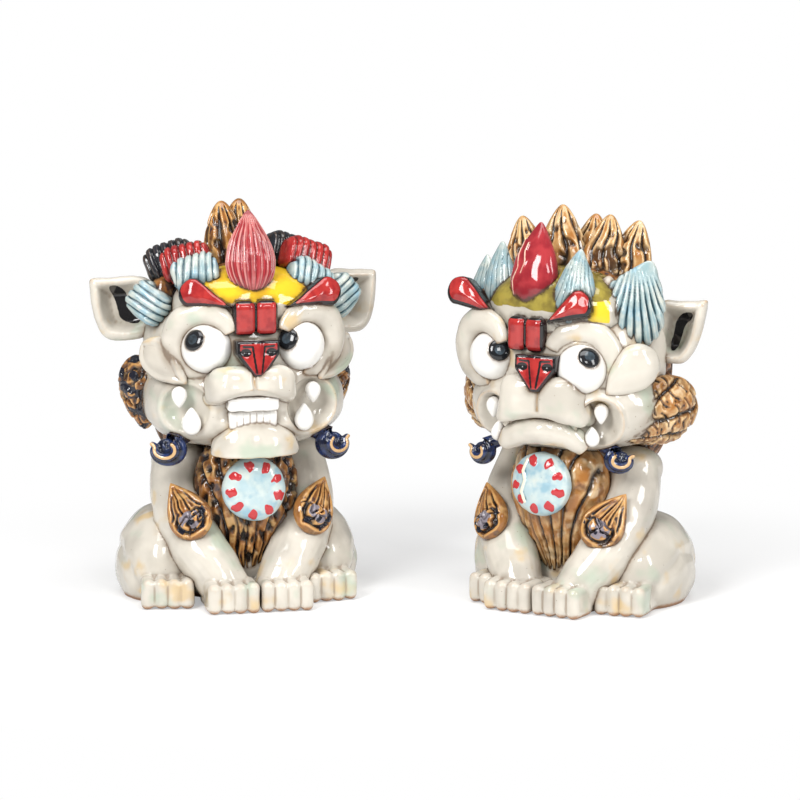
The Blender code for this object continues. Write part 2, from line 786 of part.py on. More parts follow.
def make_head(lion, flames):
    """The hollow head: its combed ball, the nape down the back, the forehead and the flames."""
    ball = ellipsoid(HEAD_RADII * 2, HEAD_LOCKS * 2, COARSE + 1, HEAD_BLUNTNESS, COMB_DEPTH)
    head = lion.piece("head", ball, Matrix.Translation(HEAD_CENTRE), "amber_glaze")
    nape_size = (NAPE_WIDTH, NAPE_DEPTH, NAPE_HEIGHT)
    nape = ellipsoid(nape_size, NAPE_LOCKS * 2, COARSE - 1, comb=COMB_DEPTH)
    nape_place = HEAD_CENTRE + Vector((0, NAPE_SETBACK, -NAPE_DROP))
    forehead_size = (FOREHEAD_WIDTH, FOREHEAD_DEPTH, FOREHEAD_HEIGHT)
    forehead = ellipsoid(forehead_size, MEDIUM, COARSE, FOREHEAD_BLUNTNESS)
    forehead_place = HEAD_CENTRE + Vector((0, -FOREHEAD_FORWARD, FOREHEAD_RISE))
    lumps = [(nape, Matrix.Translation(nape_place)), (forehead, Matrix.Translation(forehead_place))]
    for across, back, up, tilt, scale in flames:
        size = (FLAME_WIDTH * scale, FLAME_THICKNESS, FLAME_LENGTH * scale)
        lean = facing(lean=math.radians(8), tilt=math.radians(tilt))
        flame = drop(size, 0.7, rings=6, segments=8)
        lumps.append((flame, Matrix.Translation(by_head(across, back, up)) @ lean))
    lion.join(head, *lumps)
    neck = NECK_OPENING / 2
    bottom = HEAD_CENTRE.z - HEAD_RADII.z
    well = [(0, HEAD_HEIGHT * 0.80), (neck * 0.8, HEAD_HEIGHT * 0.74), (neck, HEAD_HEIGHT * 0.6)]
    well += [(neck, -WALL), (0, -WALL)]
    hollow = mesh_of(turned(well, MEDIUM))
    lion.cut(head, (hollow, Matrix.Translation((0, TORSO_SETBACK, bottom))))
    return lion.seat(head)


def make_face(lion, corner_size, corners_apart, corners_aside, corner_rise):
    """The mask pressed on the front of the head, with the jaw, its scooped corners and the fangs."""
    wide, deep, high = corner_size
    mask = ellipsoid(FACE_RADII * 2, FINE, MEDIUM - 1, FACE_BLUNTNESS)
    slice_off(mask, Vector((0, FACE_REAR, 0)), Vector((0, 1, 0)))
    face = lion.piece("face", mask, Matrix.Translation(FACE_CENTRE))
    middle = HEAD_CENTRE + Vector((0, -JAW_FORWARD, -JAW_DROP))
    jaw = ellipsoid((JAW_WIDTH, JAW_DEPTH, JAW_HEIGHT), FINE, COARSE + 1, JAW_BLUNTNESS)
    lion.join(face, (jaw, lion.mouth @ Matrix.Translation(middle)))
    scoops, fangs = [], []
    for side in (-1, 1):
        aside = side * corners_apart / 2 + corners_aside
        corner = Vector((aside, middle.y - JAW_DEPTH * 0.42, middle.z + corner_rise))
        place = lion.mouth @ Matrix.Translation(corner) @ facing(azimuth=side * CORNER_TURN)
        scoop = ellipsoid((wide, deep * 2, high), COARSE + 2, COARSE - 2)
        scoops.append((scoop, place))
        for up in (-1, 1):
            fang_size = (wide * FANG_ACROSS, wide * FANG_ACROSS, high * FANG_LONG)
            fang = drop(fang_size, 0.85, rings=5, segments=6)
            shift = Matrix.Translation((up * side * wide * FANG_ASIDE, deep * 0.48, up * high * FANG_UP))
            flip = facing(tilt=math.pi if up > 0 else 0)
            fangs.append((fang, place @ shift @ flip))
    lion.cut(face, *scoops)
    lion.join(face, *fangs)
    return lion.seat(face)


def make_muzzle(lion, size, aside, rise, crease, taper, teeth):
    """The upper lip: two rolled blocks side by side, over a slab of teeth if the mouth is open.

    The crease between the blocks is as deep as their edges are rounded, and taper narrows the top.
    """
    half, depth, height = size.x / 2, size.y, size.z
    middle = on_face(0, rise, MUZZLE_STANDOUT - depth / 2) + Vector((aside, 0, 0))
    block = pad((half * 1.10, depth, height), crease)
    for vert in block.vertices:
        vert.co.x *= 1 - taper * (vert.co.z / height + 0.5)
    places = []
    for side in (-1, 1):
        half_way = Vector((side * half * (0.5 - taper * 0.22), 0, 0))
        places.append(lion.mouth @ Matrix.Translation(middle + half_way) @ facing(side * MUZZLE_TURN))
    muzzle = lion.piece("muzzle", block.copy(), places[0])
    lion.join(muzzle, (block, places[1]))
    if teeth:
        back = (UPPER_TEETH.y - depth) / 2 + UPPER_TEETH_BACK
        slab_place = middle + Vector((0, back, -height / 2 - UPPER_TEETH.z * 0.18))
        row = pad(UPPER_TEETH, TOOTH_ROUNDING, 1)
        lion.join(muzzle, (row, lion.mouth @ Matrix.Translation(slab_place)))
    return lion.seat(muzzle)


def make_open_lip(lion):
    """The open mouth's lower lip: a half moon on the chin, with a row of small teeth on it."""
    front = HEAD_CENTRE.y - JAW_FORWARD - JAW_DEPTH / 2
    height = HEAD_CENTRE.z - JAW_DROP - JAW_HEIGHT / 2 + LIP_CUT
    middle = lion.mouth @ Vector((0, front + LIP_MOON.y * 0.24, height))
    moon = slice_off(ellipsoid(LIP_MOON, MEDIUM + 2, COARSE), (0, 0, -LIP_CUT), (0, 0, -1))
    lip = lion.piece("lower_lip", moon, Matrix.Translation(middle))
    teeth = scalloped(LOWER_TEETH.x, LOWER_TEETH.y, LOWER_TEETH_COUNT, LOWER_TOOTH_BULGE, 2)
    row = slab(teeth, LOWER_TEETH.z, LOWER_TEETH.z / 10)
    upright = Matrix.Rotation(-math.pi / 2, 4, "X")
    on_lip = Vector((0, -LOWER_TEETH.z / 2, LIP_MOON.z * 0.44))
    lion.join(lip, (row, Matrix.Translation(middle + on_lip) @ upright))
    return lion.seat(lip)


def make_closed_lip(lion):
    """The closed mouth's lower lip: a thick roll that turns down at both ends."""
    front = HEAD_CENTRE.y - JAW_FORWARD - JAW_DEPTH / 2
    middle = Vector((0, front + LIP_ROLL_RADIUS / 4, HEAD_CENTRE.z - JAW_DROP - LIP_ROLL_DROP))
    ends = Vector((LIP_ROLL_WIDTH / 2, LIP_ROLL_SWEEP, -LIP_ROLL_SAG))
    crown = Vector((0, -LIP_ROLL_RADIUS / 4, LIP_ROLL_SAG / 2))
    half = Vector((ends.x / 2, 0, 0))
    count = 8
    path = bezier(middle + Vector((-ends.x, ends.y, ends.z)), middle + crown - half,
                  middle + crown + half, middle + ends, count)
    radii = swell(count, LIP_ROLL_RADIUS, LIP_ROLL_RADIUS * 0.95, LIP_ROLL_RADIUS)
    return lion.seat(lion.piece("lower_lip", roll(list(path), list(radii)), lion.mouth))


def make_hood(lion, side, name, leaf_size):
    """The thick roll that hoods an eye, with the leaf of cheek under its outer end."""
    middle = on_face(side * (EYES_APART / 2 + HOOD_ROLL * 0.26), EYE_RISE + HOOD_ROLL * 0.21)
    middle.z -= lion.eye_drop
    count = 9
    path = [
        Vector((side * point.x, 0, point.z))
        for point in arc(HOOD_RADIUS, HOOD_FROM, HOOD_TO, count)
    ]
    radii = list(swell(count, HOOD_ROLL * 0.55, HOOD_ROLL * 0.62, HOOD_ROLL * 0.40))
    out = facing(azimuth=side * HOOD_TURN)
    hood = lion.piece(name, roll(path, radii), Matrix.Translation(middle) @ out)
    leaf = ellipsoid(leaf_size, COARSE, COARSE - 2, LEAF_BLUNTNESS)
    leaf_middle = on_face(side * LEAVES_APART / 2, EYE_RISE - LEAF_DROP, LEAF_THICKNESS * 0.09)
    leaf_middle.z -= lion.eye_drop
    turn = facing(azimuth=side * math.radians(46), tilt=-side * math.radians(38))
    lion.join(hood, (leaf, Matrix.Translation(leaf_middle) @ turn))
    return lion.seat(hood)


def make_eye(lion, side, name, gaze):
    """A white ball with a black bead pressed on, to the side where the lion looks."""
    middle = on_face(side * EYES_APART / 2, EYE_RISE, EYE_STANDOUT)
    middle.z -= lion.eye_drop
    ball = ellipsoid((EYE_DIAMETER,) * 3, MEDIUM, COARSE - 1)
    eye = lion.piece(name, ball, Matrix.Translation(middle), "white_glaze")
    look_side, look_up = gaze
    look = facing(azimuth=look_side, lean=look_up)
    bead = ellipsoid((PUPIL_DIAMETER, PUPIL_THICKNESS, PUPIL_DIAMETER), COARSE, COARSE - 4)
    ahead = Vector((0, -EYE_DIAMETER / 2 + PUPIL_THICKNESS / 2 - PUPIL_STANDOUT, 0))
    lion.join(eye, (bead, Matrix.Translation(middle + look @ ahead) @ look))
    return lion.seat(eye)


def make_nose(lion):
    """Two short rolls down the bridge, over the wedge of the nose."""
    half = BRIDGE_WIDTH / 2
    front = FOREHEAD_FRONT - BRIDGE_STANDOUT
    middle = Vector((0, front + BRIDGE_DEPTH / 2, FACE_CENTRE.z + BRIDGE_RISE - lion.nose_drop))
    size = (half * 1.04, BRIDGE_DEPTH, BRIDGE_HEIGHT)
    places = [Matrix.Translation(middle + Vector((side * half / 2, 0, 0))) for side in (-1, 1)]
    nose = lion.piece("nose", pad(size, BRIDGE_ROUNDING, 1), places[0], "red_glaze")
    wing, foot, shoulder = NOSE_WIDTH / 2, NOSE_TIP / 2, NOSE_HEIGHT * 0.22
    outline = [(-wing, NOSE_HEIGHT / 2), (-wing, shoulder), (-foot, -NOSE_HEIGHT / 2)]
    outline += [(foot, -NOSE_HEIGHT / 2), (wing, shoulder), (wing, NOSE_HEIGHT / 2)]
    wedge = slab(outline, NOSE_DEPTH, NOSE_CHAMFER)
    tip = Vector((0, front + NOSE_DEPTH / 2 - NOSE_STANDOUT, FACE_CENTRE.z + NOSE_RISE - lion.nose_drop))
    upright = facing(lean=math.radians(6)) @ Matrix.Rotation(math.pi / 2, 4, "X")
    wedge_place = lion.mouth @ Matrix.Translation(tip) @ upright
    lion.join(nose, (pad(size, BRIDGE_ROUNDING, 1), places[1]), (wedge, wedge_place))
    return lion.seat(nose)


def make_brow(lion, side, name, aside, rise, length, forward=0.0):
    """A wedge over each eye, pointed towards the nose and blunt at its high outer end."""
    outline = [(0, -length / 2)]
    for step in range(7):
        angle = math.pi * step / 6
        swell_up = length * (0.26 + 0.24 * math.sin(angle))
        outline.append((BROW_WIDTH / 2 * math.cos(angle), swell_up))
    mesh = slab(outline, BROW_THICKNESS, BROW_CHAMFER)
    mesh.transform(Matrix.Rotation(math.pi / 2, 4, "X"))
    back = FOREHEAD_FRONT + BROW_THICKNESS * 0.55 - forward
    middle = Vector((side * aside, back, FACE_CENTRE.z + rise))
    turn = facing(side * math.radians(20), math.radians(14), side * math.radians(60))
    return lion.seat(lion.piece(name, mesh, Matrix.Translation(middle) @ turn, "red_glaze"))


def make_ear(lion, side, name, rise):
    """A thick cupped ear, square at its tip, that opens forwards."""
    middle = by_head(0, 0.16, rise) + Vector((side * EARS_APART / 2, 0, 0))
    turn = facing(side * math.radians(12), math.radians(8), side * math.radians(8))
    block = pad((EAR_WIDTH, EAR_THICKNESS, EAR_HEIGHT), EAR_THICKNESS * 0.40)
    ear = lion.piece(name, block, Matrix.Translation(middle) @ turn)
    half = Vector((EAR_WIDTH / 2 - EAR_RIM, EAR_HEIGHT / 2 - EAR_RIM))
    outline = [(half.x, half.y), (half.x * 0.7, -half.y * 0.5), (half.x * 0.1, -half.y)]
    outline += [(-half.x * 0.5, -half.y * 0.6), (-half.x * 0.6, half.y * 0.8)]
    if side < 0:
        outline = [(-x, y) for x, y in reversed(outline)]
    cup = slab(outline, EAR_THICKNESS, EAR_CHAMFER)
    forward = Matrix.Translation((0, -EAR_THICKNESS * 0.55, 0)) @ Matrix.Rotation(math.pi / 2, 4, "X")
    lion.cut(ear, (cup, Matrix.Translation(middle) @ turn @ forward))
    return lion.seat(ear)


def make_crown_petal(lion, flutes, sideways, drop_by):
    """The tall centre petal that stands on the forehead."""
    size = (PETAL_WIDTH, PETAL_THICKNESS, PETAL_LENGTH)
    mesh = drop(size, 0.75, flutes, FLUTE_DEPTH, rings=8, segments=MEDIUM)
    rise = HEAD_CENTRE.z + FOREHEAD_RISE + PETAL_LENGTH * 0.76 - drop_by
    middle = Vector((sideways, FOREHEAD_FRONT + PETAL_THICKNESS * 0.60, rise))
    place = Matrix.Translation(middle) @ facing(lean=PETAL_LEAN)
    return lion.seat(lion.piece("crown_petal", mesh, place, "rose_glaze"))


def make_crown_tufts(lion, name, tufts):
    """The fluted tufts that fan out beside the crown petal, pressed onto one strip of clay."""
    tufts_made, root = [], []
    for across, back, up, size, point, lean, azimuth, tilt in tufts:
        mesh = drop(size, point, rings=5, segments=10)
        turn = facing(math.radians(azimuth), math.radians(lean), math.radians(tilt))
        middle = by_head(across, back, up)
        tufts_made.append((mesh, Matrix.Translation(middle) @ turn))
        root.append(middle + turn @ Vector((0, size.y * 0.15, -size.z * 0.28)))
    path = [root[0]]
    for last, following in zip(root, root[1:]):
        between = (last + following) / 2
        outward = (between - HEAD_CENTRE).normalized()
        path += [between + outward * TUFT_ROOT_RADIUS * 0.7, following]
    strip = roll(path, [TUFT_ROOT_RADIUS] * len(path), sides_resolution=1)
    fan = lion.piece(name, *tufts_made[0], "sky_glaze")
    lion.join(fan, (strip, Matrix.Identity(4)), *tufts_made[1:])
    return lion.seat(fan)


def make_cheek_mane(lion, side, name, size, back, up, azimuth, tilt):
    """The pad of mane that covers the side of the head behind the jaw."""
    mesh = drop(size, 0.5, rings=6, segments=10)
    mesh.transform(facing(tilt=math.pi))
    middle = by_head(0, back, up) + Vector((side * JAW_WIDTH * 0.475, 0, 0))
    turn = facing(side * math.radians(azimuth), math.radians(-4), side * math.radians(tilt))
    return lion.seat(lion.piece(name, mesh, Matrix.Translation(middle) @ turn, "amber_glaze"))


def make_curl(lion, side, name, aside, drop_by):
    """A small curl of beard, rooted under the corner of the jaw, its tip flicked outwards."""
    count = 8
    turns = arc(CURL_RADIUS, math.radians(150), math.radians(390), count)
    path = [Vector((-side * CURL_ROOT.x, CURL_ROOT.y, CURL_ROOT.z))]
    path += [Vector((side * point.x, 0, point.z)) for point in turns]
    path[-1] += Vector((side * CURL_RADIUS * 0.8, 0, 0))
    radii = [CURL_ROLL * 0.9] + list(swell(count, CURL_ROLL, CURL_ROLL * 0.5, CURL_ROLL * 0.22))
    corner = Vector((side * JAW_WIDTH * aside, -CURL_FORWARD, -JAW_DROP - drop_by))
    place = lion.mouth @ Matrix.Translation(HEAD_CENTRE + corner) @ facing(side * math.radians(20))
    curl = roll(path, radii, sides_resolution=1)
    return lion.seat(lion.piece(name, curl, place, "cobalt_glaze"))


def make_body(lion, haunches, paws_aside):
    """Everything below the head."""
    for side, word in ((1, "left"), (-1, "right")):
        make_front_leg(lion, side, f"front_leg_{word}", paws_aside)
    for side, word in ((1, "left"), (-1, "right")):
        make_haunch(lion, side, f"haunch_{word}", *haunches[word])
    make_tail(lion)
    make_bib(lion)


def make_features(lion, gazes, leaf_size, brows, ear_rise):
    """The hoods, eyes, nose, brows and ears, which both lions share."""
    for side, word in ((1, "left"), (-1, "right")):
        make_hood(lion, side, f"eye_hood_{word}", leaf_size)
    for side, word in ((1, "left"), (-1, "right")):
        look_side, look_up = gazes[word]
        make_eye(lion, side, f"eye_{word}", (math.radians(look_side), math.radians(look_up)))
    make_nose(lion)
    for side, word in ((1, "left"), (-1, "right")):
        make_brow(lion, side, f"brow_{word}", *brows[word])
        make_ear(lion, side, f"ear_{word}", ear_rise)


def make_lion_a(parts, scraps):
    """The lion with the open mouth, on the left."""
    lion = Lion("lion_a", (-LIONS_APART / 2, 0, 0), LION_A_TURN, parts, scraps)
    make_torso(lion)
    make_head(lion, [(-0.18, 0.02, 1.22, -3, 0.95), (0.06, 0.12, 1.24, 3, 1.0)])
    haunches = {
        "left": (HAUNCH_OUT, LION_A_LEFT_PAW_OUT, HIND_REACH),
        "right": (HAUNCH_OUT, HIND_PAW_OUT, HIND_REACH),
    }
    make_body(lion, haunches, paws_aside=0)
    make_face(lion, OPEN_CORNER, OPEN_CORNERS_APART, 0.0, corner_rise=0.0013)
    make_muzzle(lion, OPEN_MUZZLE, OPEN_MUZZLE_ASIDE, rise=-0.0064, crease=0.0029, taper=0.0, teeth=True)
    make_open_lip(lion)
    leaf_size = (LEAF_LENGTH, LEAF_THICKNESS, LEAF_WIDTH)
    brows = {"left": (0.0222, 0.0262, BROW_LENGTH), "right": (0.0176, 0.0270, BROW_LENGTH)}
    make_features(lion, {"left": (-41, 21), "right": (-46, 26)}, leaf_size, brows, ear_rise=0.55)
    make_crown_petal(lion, PETAL_FLUTES, sideways=0, drop_by=0)
    right = [
        (-1.10, -0.43, 0.66, SIDE_PAD, SIDE_PAD_POINT, 10, -30, -48),
        (-0.84, -0.18, 1.10, TOP_PAD, PAD_POINT, 12, -20, -30),
        (-0.68, -0.46, 1.10, TOP_PAD, PAD_POINT, 16, -18, -24),
        (-0.62, -0.74, 1.01, FRONT_PAD, PAD_POINT, 20, -14, -20),
    ]
    left = [
        (1.12, -0.43, 0.66, SIDE_PAD, SIDE_PAD_POINT, 10, 30, 48),
        (0.60, -0.14, 1.13, TOP_PAD, PAD_POINT, 12, 20, 26),
        (0.78, -0.42, 1.07, TOP_PAD, PAD_POINT, 16, 18, 26),
        (0.76, -0.72, 0.95, FRONT_PAD, PAD_POINT, 20, 14, 24),
    ]
    make_crown_tufts(lion, "crown_tufts_left", left)
    make_crown_tufts(lion, "crown_tufts_right", right)
    for side, word in ((1, "left"), (-1, "right")):
        make_cheek_mane(lion, side, f"cheek_mane_{word}", CHEEK_MANE_A, 0.08, -0.34, 72, 0)
        make_curl(lion, side, f"curl_{word}", aside=0.425, drop_by=0.0152)
    make_medallion(lion, 0.0130)
    for side, word in ((1, "left"), (-1, "right")):
        make_elbow_tuft(lion, side, f"elbow_tuft_{word}")
    return lion


def make_lion_b(parts, scraps):
    """The lion with the closed mouth, on the right."""
    lion = Lion("lion_b", (LIONS_APART / 2, -LION_B_FORWARD, 0), LION_B_TURN, parts, scraps)
    neck = Matrix.Translation(HEAD_CENTRE)
    lion.mouth = neck @ facing(LION_B_MOUTH_TURN) @ neck.inverted()
    lion.eye_drop, lion.nose_drop = LION_B_EYE_DROP, LION_B_NOSE_DROP
    make_torso(lion)
    flames = [
        (-0.65, -0.05, 1.05, -12, 0.95),
        (-0.20, -0.10, 1.22, -4, 1.10),
        (0.04, 0.35, 1.10, 3, 1.0),
        (0.36, -0.02, 1.14, 6, 1.0),
        (0.66, 0.10, 1.05, 12, 1.0),
    ]
    make_head(lion, flames)
    haunches = {
        "left": (HAUNCH_OUT, HIND_PAW_OUT, HIND_REACH),
        "right": (LION_B_RIGHT_HAUNCH_OUT, LION_B_RIGHT_PAW_OUT, LION_B_RIGHT_REACH),
    }
    make_body(lion, haunches, LION_B_PAWS_ASIDE)
    make_face(lion, CLOSED_CORNER, CLOSED_CORNERS_APART, CLOSED_CORNERS_ASIDE, corner_rise=-0.0011)
    make_muzzle(lion, CLOSED_MUZZLE, 0.0, rise=-0.0129, crease=0.0024, taper=0.28, teeth=False)
    make_closed_lip(lion)
    leaf_size = (LEAF_LENGTH, LEAF_THICKNESS * 1.15, LEAF_WIDTH * 1.25)
    near_brow = (0.0132, 0.0232, LION_B_LEFT_BROW, BROW_THICKNESS * 0.18)
    brows = {"left": near_brow, "right": (0.0272, 0.0245, BROW_LENGTH)}
    make_features(lion, {"left": (48, 28), "right": (39, 15)}, leaf_size, brows, ear_rise=0.42)
    make_crown_petal(lion, 0, sideways=-0.0045, drop_by=0.0030)
    left = [
        (0.40, -0.80, 0.98, GROOVED_PETAL, PETAL_POINT, 8, 14, 6),
        (0.70, -0.68, 0.88, FRONT_PAD, PAD_POINT, 8, 20, 10),
        (1.02, -0.50, 0.74, SHELL_PETAL, PETAL_POINT, 4, 26, 16),
    ]
    right = [
        (-0.68, -0.80, 0.92, FAR_PETAL, PETAL_POINT, 8, -14, -4),
        (-0.99, -0.58, 0.82, FAR_PETAL, PETAL_POINT, 8, -24, -8),
    ]
    make_crown_tufts(lion, "crown_tufts_left", left)
    make_crown_tufts(lion, "crown_tufts_right", right)
    for side, word in ((1, "left"), (-1, "right")):
        make_cheek_mane(lion, side, f"cheek_mane_{word}", CHEEK_MANE_B, -0.40, -0.42, 64, 50)
        make_curl(lion, side, f"curl_{word}", aside=0.385, drop_by=0.0180)
    make_medallion(lion, 0.0105)
    for side, word in ((1, "left"), (-1, "right")):
        make_elbow_tuft(lion, side, f"elbow_tuft_{word}")
    return lion


def centre_pair(lions):
    """Slide both lions by one step, so that the box round the pair stands centred on the origin."""
    bpy.context.view_layer.update()
    points = []
    for piece in lions[0].pieces + lions[1].pieces:
        points += [piece.matrix_world @ vert.co for vert in piece.data.vertices]
    for axis in (0, 1):
        middle = (min(p[axis] for p in points) + max(p[axis] for p in points)) / 2
        for lion in lions:
            lion.stand.location[axis] -= middle
    bpy.context.view_layer.update()


def main():
    """Build both lions."""
    clear_scene()
    parts = collection("guardian_lion_pair")
    scraps = collection("tools", parts)
    centre_pair([make_lion_a(parts, scraps), make_lion_b(parts, scraps)])


if __name__ == "__main__":
    main()
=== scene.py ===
"""A pair of glazed stoneware guardian lions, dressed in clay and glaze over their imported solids.

Shapes are worked out in millimetres in a lion's own frame: it looks towards -Y, its own left is at
+X and it stands on z = 0. A finished piece is turned to its lion's place on the table and written
in metres.
"""

import logging
import math
from collections.abc import Iterable, Sequence
from dataclasses import dataclass, field, replace
from enum import Enum

import bmesh
import bpy
import numpy as np
from mathutils import Matrix, Vector
from mathutils.bvhtree import BVHTree


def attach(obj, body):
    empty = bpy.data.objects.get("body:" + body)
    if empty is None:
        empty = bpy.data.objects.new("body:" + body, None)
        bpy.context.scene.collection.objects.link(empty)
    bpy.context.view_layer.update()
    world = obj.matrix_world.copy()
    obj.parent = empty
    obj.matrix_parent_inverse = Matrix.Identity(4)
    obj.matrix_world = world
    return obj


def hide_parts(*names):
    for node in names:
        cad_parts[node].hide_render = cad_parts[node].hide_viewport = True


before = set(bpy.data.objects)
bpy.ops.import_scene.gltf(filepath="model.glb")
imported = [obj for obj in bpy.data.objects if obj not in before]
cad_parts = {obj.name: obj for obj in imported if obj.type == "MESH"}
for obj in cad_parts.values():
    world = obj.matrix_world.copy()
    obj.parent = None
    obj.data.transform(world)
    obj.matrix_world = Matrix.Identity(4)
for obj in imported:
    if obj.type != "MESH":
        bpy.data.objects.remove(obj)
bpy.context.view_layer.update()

LOG = logging.getLogger("lions")
MM = 0.001
Colour = tuple[float, float, float]
Triple = tuple[float, float, float]
Point = tuple[float, float]
Lump = bmesh.types.BMesh
FAR = 1e9
TINY = 1e-9


class Side(Enum):
    """A lion's own left or right, as the sign of X there."""

    LEFT = 1
    RIGHT = -1

    @property
    def word(self) -> str:
        """The side as node names spell it."""
        return self.name.lower()


class Mouth(Enum):
    """Which of the pair a lion is."""

    OPEN = "lion_a"
    CLOSED = "lion_b"


# Shader sums


class Wire:
    """A number on its way between shader nodes, which can be used in a sum."""

    def __init__(self, bench: "Bench", socket: bpy.types.NodeSocket) -> None:
        """Keep the socket and the bench that its node is on."""
        self.bench = bench
        self.socket = socket

    def __add__(self, other: "Wire | float") -> "Wire":
        """The sum."""
        return self.bench.maths("ADD", self, other)

    __radd__ = __add__

    def __mul__(self, other: "Wire | float") -> "Wire":
        """The product."""
        return self.bench.maths("MULTIPLY", self, other)

    __rmul__ = __mul__

    def __sub__(self, other: "Wire | float") -> "Wire":
        """The difference."""
        return self.bench.maths("SUBTRACT", self, other)

    def step(self, low: float, high: float) -> "Wire":
        """Rise softly from 0 to 1 between two values, or fall if low is the larger."""
        limits = {"From Min": low, "From Max": high, "To Min": 0.0, "To Max": 1.0}
        settings = {"interpolation_type": "SMOOTHSTEP", "clamp": True}
        return self.bench.node("ShaderNodeMapRange", settings, {"Value": self, **limits}, "Result")


class Bench:
    """The node tree of one material or of the world."""

    def __init__(self, owner: bpy.types.Material | bpy.types.World) -> None:
        """Clear what the owner has."""
        self.owner = owner
        self.owner.use_nodes = True
        self.tree = self.owner.node_tree
        self.tree.nodes.clear()

    def node(self, kind: str, settings: dict, sockets: dict, out: str | int = 0) -> Wire:
        """Add a node.

        Args:
            kind: The node's type.
            settings: Its own settings, which are set first.
            sockets: A value or a Wire for each input, by the input's identifier.
            out: The identifier or number of the output to use.

        Returns:
            The chosen output.
        """
        made = self.tree.nodes.new(kind)
        for key, value in settings.items():
            setattr(made, key, value)
        for key, value in sockets.items():
            socket = next(s for s in made.inputs if key in (s.identifier, s.name))
            if isinstance(value, Wire):
                self.tree.links.new(value.socket, socket)
            else:
                socket.default_value = (*value, 1) if socket.type == "RGBA" else value
        if isinstance(out, int):
            return Wire(self, made.outputs[out]) if made.outputs else Wire(self, made.inputs[0])
        return Wire(self, next(s for s in made.outputs if out in (s.identifier, s.name)))

    def maths(self, operation: str, one: "Wire | float", other: "Wire | float") -> Wire:
        """Work two numbers out by an operation such as ADD."""
        sockets = {"Value": one, "Value_001": other}
        return self.node("ShaderNodeMath", {"operation": operation}, sockets)

    def mix(self, one: "Wire | Colour", other: "Wire | Colour", share: "Wire | float") -> Wire:
        """Lay some of another colour over a colour."""
        sockets = {"Factor_Float": share, "A_Color": one, "B_Color": other}
        return self.node("ShaderNodeMix", {"data_type": "RGBA"}, sockets, "Result_Color")

    def mark(self, name: str) -> Wire:
        """A mark that was left on the piece's points."""
        settings = {"attribute_type": "GEOMETRY", "attribute_name": name}
        return self.node("ShaderNodeAttribute", settings, {}, "Fac")

    def noise(self, spot: Wire, grain: float, detail: float = 2.0) -> Wire:
        """Cloudy noise about 0.5, whose lumps are about one grain, in millimetres, across."""
        sockets = {"Vector": spot, "Scale": 1 / (grain * MM), "Detail": detail}
        return self.node("ShaderNodeTexNoise", {}, sockets, "Fac")

    def drifting(self, spot: Wire, offset: float) -> Wire:
        """The place on the piece, moved so that another noise there differs."""
        settings = {"vector_type": "POINT"}
        moved = tuple(offset * step for step in (0.013, 0.007, 0.011))
        return self.node("ShaderNodeMapping", settings, {"Vector": spot, "Location": moved})


BARE_CLAY = (0.78, 0.70, 0.54)
PINHOLE_BROWN = (0.10, 0.05, 0.025)
TOASTED = (0.30, 0.15, 0.07)
FINE_GRAIN = 1.3
PINHOLE_PITCH = 2.6
FOOT_CLEAR = 2.1 * MM
FOOT_TOASTED = 0.8 * MM
FOOT_UNEVEN = 1.2 * MM
RIPPLE_GRAIN = 3.2
RIPPLE_DEPTH = 0.6 * MM


@dataclass(frozen=True)
class Stain:
    """Patches of another colour that drift under the glaze."""

    colour: Colour
    grain: float
    low: float
    high: float
    share: float


